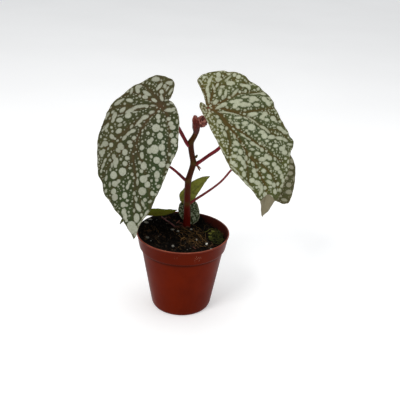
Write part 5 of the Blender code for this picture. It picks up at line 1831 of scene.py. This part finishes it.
    # shreds of dried leaf left of the stem's foot and round it
    litter = Heap()
    for px, py, qx, qy, size, tint in (
        (176.4, 222.8, 179.8, 221.0, 0.55, 0.9), (178.6, 220.4, 180.0, 219.0, 0.5, 0.8), (178.8, 223.4, 183.2, 224.2, 0.6, 0.7),
        (175.2, 226.6, 179.6, 227.8, 0.55, 0.5), (180.0, 226.0, 184.6, 227.8, 0.6, 0.45), (184.4, 228.0, 190.4, 227.6, 0.5, 0.4),
        (164.4, 219.4, 167.0, 217.4, 0.6, 0.25), (167.8, 217.0, 170.6, 218.2, 0.5, 0.3), (192.6, 246.4, 196.0, 249.4, 0.45, 0.6),
    ):
        a, b = on_soil(px, py), on_soil(qx, qy)
        line = [np.array(a) + (np.array(b) - np.array(a)) * u for u in np.linspace(0, 1, 6)]
        line = [(x, y, soil_top(x, y) + 0.25 + 0.7 * math.sin(k / 5 * math.pi) + rand.uniform(-0.1, 0.1)) for k, (x, y, _) in enumerate(line)]
        path = resample(np.array(line), 0.35)
        curl = lambda along, turn: (1 + 0.7 * np.cos(turn) ** 2) * (1 + 0.2 * np.sin(3 * turn + along * 1.9))
        points, faces, _ = tube_mesh(path, size * smooth(np.linspace(0, 1, len(path)), (0, 0.3, 0.7, 1), (0.25, 0.8, 0.7, 0.2)), 10, curl)
        litter.add(points, faces, tint)
    obj = litter.piece("leaf_litter", [tinted_material("litter", rgb(46, 27, 17), rgb(112, 68, 56), 0.85, 0.5, 900.0)])
    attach(obj, "root")


def leaflet(path_base, turn, lean, long, wide, cup=0.25):
    """A tiny pointed leaf as a thin closed sliver."""
    way = np.array([math.cos(turn) * math.cos(lean), math.sin(turn) * math.cos(lean), math.sin(lean)])
    side = np.array([-math.sin(turn), math.cos(turn), 0.0])
    up = np.cross(way, side)
    up = up if up[2] > 0 else -up
    points, faces = [], []
    shape = ((0.0, 0.15), (0.35, 1.0), (0.7, 0.75), (1.0, 0.06))
    for u, w in shape:
        middle = np.array(path_base) + way * long * u - np.array([0, 0, 1]) * long * 0.18 * u * u
        for s in (-1, 0, 1):
            rise = cup * abs(s) * wide * w
            points.append(middle + side * s * wide * w + up * rise)
    count = len(points)
    points += [p - up * 0.07 for p in points]
    for k in range(len(shape) - 1):
        for j in range(2):
            a, b, c, d = k * 3 + j, k * 3 + j + 1, k * 3 + j + 4, k * 3 + j + 3
            faces.append((a, b, c, d))
            faces.append((d + count, c + count, b + count, a + count))
    ring = [0, 1, 2, 5, 8, 11, 10, 9, 6, 3]
    for a, b in zip(ring, ring[1:] + ring[:1]):
        faces.append((b, a, a + count, b + count))
    return np.array(points), faces


def build_moss():
    rand = random.Random(77)
    moss = Heap()
    for _ in range(330 if FINE == 1 else 160):
        turn, reach = rand.uniform(0, 2 * math.pi), math.sqrt(rand.random())
        px, py = 217.8 + 9.0 * reach * math.cos(turn), 236.4 + 7.4 * reach * math.sin(turn)
        x, y, _ = on_soil(px, py)
        if math.hypot(x, y) > 37.9:
            continue
        # it creeps a little way up the wall at the right
        climb = 2.2 * step(35.5, 37.9, math.hypot(x, y)) * step(-4.0, 6.0, y)
        z = soil_top(x, y) + 0.2 + 1.2 * (1 - reach * reach) * rand.uniform(0.4, 1) + climb * rand.random()
        tint = 0.05 + 0.42 * rand.random() ** 1.4
        spin = rand.uniform(0, 6.28)
        for k in range(5):
            points, faces = leaflet((x, y, z), spin + k * 2.4, rand.uniform(0.1, 1.1), rand.uniform(0.8, 1.7), rand.uniform(0.2, 0.42))
            moss.add(points, faces, tint + rand.uniform(-0.08, 0.08))
    # one bigger yellow-green shoot, and a thin pale runner behind it
    for px, py, lift in ((210.2, 237.0, 0.7), (210.0, 234.9, 1.6), (212.8, 232.8, 1.4)):
        x, y, z = on_soil(px, py)
        for k in range(6):
            points, faces = leaflet((x, y, z + lift), k * 1.05 + rand.uniform(-0.2, 0.2), rand.uniform(0.2, 0.7), rand.uniform(1.9, 2.7), rand.uniform(0.8, 1.15), 0.3)
            moss.add(points, faces, rand.uniform(0.78, 1.0))
    line = [np.array(on_soil(px, py)) + (0, 0, lift) for px, py, lift in ((204.6, 232.0, 0.4), (207.0, 231.6, 1.3), (209.8, 231.0, 2.2), (213.0, 230.4, 2.6))]
    points, faces, _ = tube_mesh(resample(np.array(line), 0.5), np.linspace(0.3, 0.22, len(resample(np.array(line), 0.5))), 8)
    moss.add(points, faces, 0.62)
    obj = moss.piece("moss", [tinted_material("moss_green", rgb(17, 22, 8), rgb(120, 122, 52), 0.8, 0.3, 1200.0)])
    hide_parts("moss_clump")
    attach(obj, "root")


# ------------------------------------------------------------------ stem, stalks, growing tip
def build_stem():
    spline = resample(np.array([(x, STEM_Y_MM, z, r) for x, z, r in STEM]), 0.7 * FINE)
    nodes = (92.6, 115.4, 133.0, 152.4)

    def swell(along, turn):
        z = 57.0 + along
        wave = 1 + 0.02 * np.sin(2 * turn + z * 0.12) + 0.014 * np.sin(5 * turn + z * 0.35)
        for node in nodes:
            wave = wave + 0.045 * math.exp(-(((z - node - 0.6 * 1) / 0.55) ** 2)) * (1 + 0.4 * np.sin(turn + node))
            wave = wave - 0.03 * math.exp(-(((z - node - 1.9) / 0.5) ** 2))
        return wave

    points, faces, places = tube_mesh(spline[:, :3], spline[:, 3], 40, swell)
    node = np.zeros(len(points))
    for z in nodes:
        node = np.maximum(node, np.exp(-(((points[:, 2] - z - 0.4) / 2.4) ** 2)))
    node = np.maximum(node, 0.2 * step(150, 160, points[:, 2]) * step(166, 158, points[:, 2]))
    obj = mesh_piece("cane_stem", points, faces, [cane_material()], attributes={"tube": places * (1, 2.5, 1), "node": node})
    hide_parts("main_stem")
    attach(obj, "root")


def build_stalks(surfaces):
    red = stalk_material("red_stalk", rgb(122, 18, 32), rgb(88, 12, 22), rgb(186, 84, 90), rgb(140, 34, 40))
    brown = stalk_material("brown_stalk", rgb(124, 46, 48), rgb(108, 30, 38), rgb(170, 110, 96), rgb(138, 70, 58))
    green = stalk_material("green_stalk", rgb(140, 132, 70), rgb(116, 96, 60), rgb(176, 160, 110), rgb(130, 90, 66))
    pink = stalk_material("pink_stalk", rgb(92, 52, 54), rgb(68, 38, 36), rgb(124, 88, 80), rgb(104, 70, 50))
    mats = {"left": red, "right": red, "back_right": brown, "back_left": red, "young": green, "small": green, "low": pink}
    for key, run in STALKS.items():
        surface = surfaces[key]
        start, end = run["radius"]
        foot, up = surface.frame(0.0, 0.0)
        under = [foot - up * reach for reach in ((1.75,) if key == "low" else (4.6, 1.75))]
        path = resample(np.array([*run["points"], *under], float), 0.9 * FINE)
        long = np.linspace(0, 1, len(path))
        radius = start + (end - start) * long
        radius = radius * (1 + 0.22 * np.exp(-((long / 0.07) ** 2)) + 0.16 * np.exp(-(((1 - long) / 0.05) ** 2)))
        seed = hash_of(key)
        swell = lambda along, turn: 1 + 0.03 * np.sin(2 * turn + along * 0.2 + seed) + 0.015 * np.sin(along * 0.9 + seed)
        points, faces, places = tube_mesh(path, radius, 18, swell)
        obj = mesh_piece(f"stalk_{key}", points, faces, [mats[key]], attributes={"tube": places * (1, 1.2, 1)})
        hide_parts(f"petiole_{key}")
        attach(obj, "root")


def hash_of(text):
    """A small number that is the same for a name in every run."""
    return sum(ord(c) * (k + 3) for k, c in enumerate(text)) % 97 / 9.7


def shell(name, centre, half, tilt, mats, open_turn, rows=26, cols=36, wrinkle=0.06, hook=0.0, thick=0.3, seed=0.0, node=None):
    """A sheath: a pointed hood that is open on one side, with a wall of its own."""
    points, faces = [], []
    for k in range(rows + 1):
        v = k / rows
        body = math.sin(math.pi * (0.10 + 0.88 * v)) ** 0.75
        for j in range(cols + 1):
            u = j / cols
            turn = open_turn + (u - 0.5) * 2 * math.pi * (0.80 - 0.10 * v)
            crease = 1 + wrinkle * noise.noise(Vector((math.cos(turn) * 1.7 + seed, math.sin(turn) * 1.7, v * 5.0)))
            crease += 0.04 * math.sin(turn * 9 + seed)
            r = body * crease
            x = half[0] * r * math.cos(turn) + hook * v * v
            y = half[1] * r * math.sin(turn)
            z = half[2] * (2 * v - 1)
            points.append((x, y, z))
    points = np.array(points)
    middle = np.array([(0, 0, z) for z in points[:, 2]])
    inner = points + (middle - points) / np.maximum(np.linalg.norm(middle - points, axis=1), 1e-6)[:, None] * np.minimum(thick, np.linalg.norm(middle - points, axis=1) * 0.45)[:, None]
    count = len(points)
    every = np.vstack([points, inner])
    for k in range(rows):
        for j in range(cols):
            a = k * (cols + 1) + j
            b, c, d = a + 1, a + cols + 2, a + cols + 1
            faces.append((a, b, c, d))
            faces.append((d + count, c + count, b + count, a + count))
    for k in range(rows):
        a, d = k * (cols + 1), (k + 1) * (cols + 1)
        faces.append((a, d, d + count, a + count))
        b, c = a + cols, d + cols
        faces.append((c, b, b + count, c + count))
    for j in range(cols):
        a = j
        faces.append((a + 1, a, a + count, a + 1 + count))
        b = rows * (cols + 1) + j
        faces.append((b, b + 1, b + 1 + count, b + count))
    turn = Matrix.Rotation(math.radians(tilt[2]), 3, "Z") @ Matrix.Rotation(math.radians(tilt[1]), 3, "Y") @ Matrix.Rotation(math.radians(tilt[0]), 3, "X")
    every = every @ np.array(turn).T + np.array(centre)
    obj = mesh_piece(name, every, faces, mats)
    if node:
        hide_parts(node)
    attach(obj, "root")
    return obj


def bud_material(name, base, dark, light, rough=0.6, painted_fold_shading=False):
    """Young tissue. A creased one has painted shade in its folds and a painted highlight on its ridges: dark where its
    tint is low and pale where it is high.
    """
    s = Shade(name)
    place = s.place()
    folds = s.noise(place, 420.0, 5.0, 0.65, 0.6)
    fine = s.noise(place, 1800.0, 3.0, 0.6)
    veins = s.cells(place, 700.0, "DISTANCE_TO_EDGE")
    if painted_fold_shading:
        # painted shade in the folds and painted highlight on the ridges, following the tint
        ridge = s.sum("MULTIPLY_ADD", s.sum("SUBTRACT", folds, 0.5), 0.5, s.value("tint"))
        colour = s.mix(s.between(ridge, 0.08, 0.62), dark, base)
        colour = s.mix(s.between(ridge, 0.66, 1.0, 0.0, 0.85), colour, light)
    else:
        colour = s.mix(s.between(folds, 0.36, 0.66), dark, base)
    colour = s.mix(s.between(fine, 0.5, 0.78, 0.0, 0.35 if painted_fold_shading else 0.6), colour, light)
    colour = s.mix(s.sum("MULTIPLY", s.sum("SUBTRACT", 1.0, s.between(veins.outputs["Distance"], 0.0, 0.10)), 0.2 if painted_fold_shading else 0.35), colour, light)
    s.set(
        Base_Color=colour,
        Roughness=s.between(folds, 0.3, 0.7, rough - 0.08, rough + 0.1),
        Specular_IOR_Level=0.2,
        Sheen_Weight=0.12,
        Sheen_Roughness=0.4,
        Normal=s.bump(s.sum("ADD", folds, s.sum("MULTIPLY", fine, 0.5)), 0.5, 0.0006),
    )
    return s.mat


def build_tip():
    pink = bud_material("pink_bud", rgb(148, 84, 74), rgb(70, 24, 22), rgb(188, 138, 122), painted_fold_shading=True)
    hooded = bud_material("red_hood", rgb(92, 22, 15), rgb(58, 12, 9), rgb(158, 94, 80), 0.45, painted_fold_shading=True)
    dark = bud_material("dark_sheath", rgb(78, 20, 17), rgb(48, 12, 11), rgb(124, 58, 48), 0.45)
    straw = bud_material("dry_sheath", rgb(128, 74, 52), rgb(84, 44, 32), rgb(170, 120, 84), 0.8)
    green = bud_material("green_bud", rgb(92, 84, 34), rgb(60, 46, 22), rgb(130, 122, 60), 0.5)

    # the sheath that still wraps the growing point: a thick ridged hood with a round top
    run = np.array(
        [
            (8.9, 20.2, 160.6, 1.9),
            (8.9, 20.1, 162.8, 2.45),
            (8.8, 20.0, 165.4, 3.05),
            (8.7, 20.0, 168.3, 3.35),
            (8.2, 19.9, 171.3, 3.1),
            (7.7, 19.8, 174.1, 2.7),
            (7.4, 19.8, 176.1, 2.05),
            (7.2, 19.8, 177.3, 1.2),
            (7.2, 19.8, 177.8, 0.45),
        ]
    )
    run = resample(run, 0.28)

    def ribs(along, turn):
        folds = 0.09 * np.sin(4 * turn + 0.22 * along + 0.6) + 0.045 * np.sin(9 * turn - 0.45 * along)
        lumps = np.array([noise.noise(Vector((math.cos(t) * 1.6, math.sin(t) * 1.6, along * 0.32))) for t in turn])
        return 1 + folds + 0.16 * lumps

    points, faces, places = tube_mesh(run[:, :3], run[:, 3], 48, ribs)
    # painted highlight and shade: the ridges are painted paler and the grooves between them darker; the hood is also
    # paler towards its top and darker low down
    ridge = 0.5 + 0.5 * np.sin(4 * places[:, 1] + 0.22 * places[:, 0] + 0.6)
    tint = 0.28 + 0.22 * ridge + 0.42 * step(170.0, 176.0, points[:, 2]) - 0.25 * step(168.0, 163.0, points[:, 2])
    hood = Heap()
    hood.add(points, faces, tint)
    obj = hood.piece("tip_hood", [hooded])
    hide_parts("bud_stipule")
    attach(obj, "root")

    # the new leaf, still crumpled: a ball of tight folds
    rand = random.Random(9)
    fold_highlight_and_shade = []
    made = bmesh.new()
    bmesh.ops.create_icosphere(made, subdivisions=5, radius=1.0)
    for vertex in made.verts:
        p = vertex.co.copy()
        q = Vector((p.x * 1.6, p.y * 1.6, p.z * 0.8))
        ridge = 1 - abs(noise.noise(q * 1.5 + Vector((4.2, 1.1, 0.3)))) * 2.6
        small = 1 - abs(noise.noise(q * 3.2 + Vector((0.2, 7.1, 2.3)))) * 2.4
        size = 0.68 + 0.30 * ridge + 0.15 * small
        vertex.co = Vector((p.x * 4.9 * size, p.y * 4.0 * size, p.z * 5.3 * size))
        vertex.co += Vector((13.9, 21.6, 171.9))
        # painted highlight on the ridges of the folds and painted shade between them
        fold_highlight_and_shade.append(min(max(0.62 * ridge + 0.42 * small, 0.0), 1.0))
    points = np.array([tuple(v.co) for v in made.verts])
    faces = [tuple(v.index for v in f.verts) for f in made.faces]
    made.free()
    heap = Heap()
    heap.add(points, faces, np.array(fold_highlight_and_shade))
    # short soft hairs
    for k in range(110):
        index = rand.randrange(len(points))
        p = points[index]
        way = p - np.array([13.9, 21.6, 171.9])
        way /= np.linalg.norm(way)
        way = way + np.array([rand.uniform(-0.4, 0.4) for _ in range(3)])
        end = p + way * rand.uniform(0.3, 0.75)
        hair, hair_faces, _ = tube_mesh(np.array([p - way * 0.1, (p + end) / 2, end]), [0.05, 0.04, 0.02], 4)
        heap.add(hair, hair_faces, 0.9)
    obj = heap.piece("new_leaf", [pink])
    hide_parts("bud_leaf")
    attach(obj, "root")

    shell("tip_sheath", (13.7, 18.4, 175.0), (0.95, 0.7, 3.3), (-8, 16, 0), [dark], math.pi * 0.5, 20, 22, 0.12, 0.3, 0.2, 3.0, "bud_stipule_front")
    # a dried sheath: a thin crinkled flap that hangs from the third node
    line = np.array([(9.6, 19.6, 132.2), (10.9, 19.2, 131.2), (11.9, 18.8, 129.9), (12.6, 18.5, 128.4), (13.2, 18.3, 126.9), (13.5, 18.2, 126.0)])
    path = resample(line, 0.3)
    flap = lambda along, turn: (1 + 1.1 * np.cos(turn) ** 2) * (1 + 0.18 * np.sin(3 * turn + along * 2.3))
    dry = Heap()
    points, faces, _ = tube_mesh(path, smooth(np.linspace(0, 1, len(path)), (0, 0.35, 0.7, 1), (0.3, 0.55, 0.45, 0.12)), 14, flap)
    dry.add(points, faces, 0.5)
    side = np.array([(11.6, 18.9, 130.0), (12.9, 18.6, 129.8), (14.0, 18.5, 129.0), (14.6, 18.4, 127.9)])
    path = resample(side, 0.3)
    points, faces, _ = tube_mesh(path, np.linspace(0.38, 0.12, len(path)), 10, flap)
    dry.add(points, faces, 0.7)
    obj = dry.piece("dry_sheath", [straw])
    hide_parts("dry_stipule")
    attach(obj, "root")
    shell("side_bud_scales", (9.9, 20.4, 139.4), (1.1, 0.95, 1.9), (0, 20, 0), [green], 2.4, 16, 20, 0.12, 0.4, 0.25, 2.0, "side_bud")


# ------------------------------------------------------------------ light and floor
def area_light(name, place, aim, size, power, colour=(1, 1, 1)):
    data = bpy.data.lights.new(name, "AREA")
    data.shape = "RECTANGLE"
    data.size, data.size_y = size
    data.energy = power
    data.color = colour
    obj = bpy.data.objects.new(name, data)
    obj.location = place
    obj.rotation_mode = "QUATERNION"
    obj.rotation_quaternion = (Vector(aim) - Vector(place)).to_track_quat("-Z", "Y")
    bpy.context.scene.collection.objects.link(obj)
    return obj


def build_stage():
    size = 6.0
    mesh = bpy.data.meshes.new("floor")
    mesh.from_pydata([(-size, -size, 0), (size, -size, 0), (size, size, 0), (-size, size, 0)], [], [(0, 1, 2, 3)])
    mesh.materials.append(floor_material())
    floor = bpy.data.objects.new("floor", mesh)
    floor.location.z = -0.0002
    bpy.context.scene.collection.objects.link(floor)

    world = bpy.data.worlds.new("studio")
    bpy.context.scene.world = world
    world.use_nodes = True
    back = world.node_tree.nodes["Background"]
    back.inputs["Color"].default_value = (0.96, 0.98, 1.0, 1)
    back.inputs["Strength"].default_value = 0.50
    area_light("key", (-0.55, -0.75, 1.15), (0, 0, 0.10), (0.45, 0.45), 7.8, (1.0, 0.99, 0.97))
    area_light("fill", (0.95, -0.55, 0.75), (0, 0, 0.10), (0.9, 0.9), 2.8, (0.98, 0.99, 1.0))
    area_light("top", (0.0, 0.25, 1.35), (0, 0, 0.10), (1.1, 1.1), 4.4)

    view = bpy.context.scene.view_settings
    view.view_transform = "Standard"
    view.look = "None"
    view.exposure = 0.0
    view.gamma = 1.0


# ------------------------------------------------------------------ put together
def build():
    make_camera()
    build_stage()

    left_look = {
        "deep": rgb(38, 44, 22), "light": rgb(74, 78, 42), "vein": rgb(74, 52, 30), "vein_amount": 0.48,
        "spot_dull": rgb(120, 116, 98), "spot_pale": rgb(172, 174, 156), "spot_shade": rgb(130, 132, 112), "spot_light": rgb(196, 199, 182),
        "ragged": 1.35, "grow": 0.02, "net": 0.5, "dot_scale": 0.42, "dot_size": 0.17, "dot_amount": 0.8, "rim": rgb(150, 142, 116), "rim_amount": 0.6,
    }
    right_look = dict(
        left_look, deep=rgb(54, 58, 30), light=rgb(100, 102, 56), vein=rgb(84, 60, 20), vein_amount=0.78,
        spot_dull=rgb(140, 134, 104), spot_pale=rgb(186, 189, 164), spot_shade=rgb(148, 153, 126), spot_light=rgb(206, 209, 186),
        ragged=1.6, grow=0.13, dot_scale=0.48, dot_size=0.19, dot_amount=0.9, rim=rgb(170, 162, 134), rim_amount=0.7,
    )
    back_look = dict(right_look, grow=0.0, spot_dull=rgb(118, 104, 86), spot_pale=rgb(150, 142, 116), deep=rgb(60, 56, 34), light=rgb(92, 86, 52))
    small_look = dict(left_look, grow=0.0, ragged=0.9, deep=rgb(40, 50, 22), light=rgb(92, 104, 62), spot_pale=rgb(186, 196, 168), spot_dull=rgb(132, 142, 108), spot_shade=rgb(140, 152, 120), spot_light=rgb(214, 220, 196), dot_scale=0.7, dot_size=0.2, dot_amount=0.8, rim=rgb(188, 172, 150), rim_amount=0.75, vein_amount=0.4)
    under = underside_material("underside", rgb(160, 152, 128), rgb(134, 92, 76), rgb(146, 146, 112))
    under_small = underside_material("underside_young", rgb(78, 82, 26), rgb(84, 70, 30), rgb(62, 66, 20))
    left_mat = leaf_material("leaf_spotted_dark", left_look)
    right_mat = leaf_material("leaf_spotted_light", right_look)
    back_mat = leaf_material("leaf_spotted_back", back_look)
    small_mat = leaf_material("leaf_speckled", small_look)
    young_mat = green_material("leaf_young_green", rgb(146, 150, 62), rgb(84, 84, 28), rgb(176, 176, 92))
    low_mat = green_material("leaf_low_green", rgb(74, 78, 22), rgb(50, 52, 14), rgb(104, 104, 42), 0.6, 0.0)
    # painted shade: a darker copy of the underside material for the tip beyond the fold line, as its shade
    fold = underside_material("underside_fold_shaded", rgb(126, 119, 96), rgb(112, 102, 78), rgb(120, 112, 88))

    def left_spots(spots):
        picture_spots("left")(spots)
        spots.scatter("leftm", 2600, (0.8, 1.7), 2.2, 0.25, 0.55, (0.3, 0.75), where=lambda x, y: (x < -22) & (y > -12))
        spots.scatter("leftt", 1600, (0.8, 1.5), 2.0, 0.25, 0.5, (0.3, 0.75), where=lambda x, y: y < 2)
        spots.scatter("leftn", 1500, (0.6, 1.2), 0.9, 0.5, 0.8, (0.6, 0.95))
        spots.scatter("lefta", 2600, (0.35, 0.65), 1.0, 0.5, 0.6, (0.5, 0.9))

    def right_spots(spots):
        picture_spots("right")(spots)
        spots.scatter("rightm", 2600, (0.7, 1.25), 1.8, 0.55, 0.75, (0.55, 0.95), where=lambda x, y: y < 90)
        spots.scatter("rightb", 3000, (0.45, 0.95), 1.2, 0.3, 0.35, (0.8, 1.0), where=lambda x, y: (x < 3) | (y < -20))
        spots.scatter("righta", 3600, (0.3, 0.6), 1.2, 0.45, 0.55, (0.6, 0.95), where=lambda x, y: y < 90)

    def back_spots(spots):
        picture_spots("back_right")(spots)
        spots.scatter("backa", 1200, (1.2, 2.2), 0.8, 0.6, 0.8, (0.3, 0.8))
        spots.scatter("backb", 2500, (0.35, 0.9), 0.8, 0.4, 0.5, (0.3, 0.8))

    def guessed_spots(spots):
        spots.scatter("guessa", 900, (1.0, 2.1), 1.0, 0.5, 0.7, (0.6, 1.0), merge=0.08)
        spots.scatter("guessb", 1800, (0.3, 0.8), 0.8, 0.3, 0.4, (0.5, 0.9))

    def small_spots(spots):
        spots.scatter("smalla", 1500, (0.45, 0.95), 0.9, 0.15, 0.5, (0.3, 1.0), merge=0.06)
        spots.scatter("smallb", 1200, (0.22, 0.4), 0.5, 0.1, 0.3, (0.3, 1.0))

    def no_spots(spots):
        return None

    gap = 0.68 * FINE
    surfaces = {}
    _, surfaces["left"] = build_leaf("left", [left_mat, under], gap, left_tint, left_spots, relief=0.45, quilt=0.9, flutter=0.7)
    _, surfaces["right"] = build_leaf("right", [right_mat, under, fold], gap, right_tint, right_spots, relief=0.65, quilt=1.3, flutter=0.8, tip_fold=fold_of_right)
    _, surfaces["back_right"] = build_leaf("back_right", [back_mat, under], gap, back_tint, back_spots)
    _, surfaces["back_left"] = build_leaf("back_left", [left_mat, under], gap * 0.95, back_left_tint, guessed_spots)
    _, surfaces["young"] = build_leaf("young", [young_mat, under_small], gap * 0.7, young_tint, no_spots, 0.35, 0.35, 0.6, 1.8)
    _, surfaces["small"] = build_leaf("small", [small_mat, under_small], gap * 0.7, small_tint, small_spots, 0.4, 0.16, 0.25, 1.2)
    _, surfaces["low"] = build_leaf("low", [low_mat, under_small], gap * 0.8, low_tint, no_spots, 0.4, 0.2, 0.3, 1.4)
    build_stalks(surfaces)
    build_stem()
    build_tip()
    build_pot()
    build_soil()
    build_soil_bits()
    build_moss()


build()
bpy.context.view_layer.update()
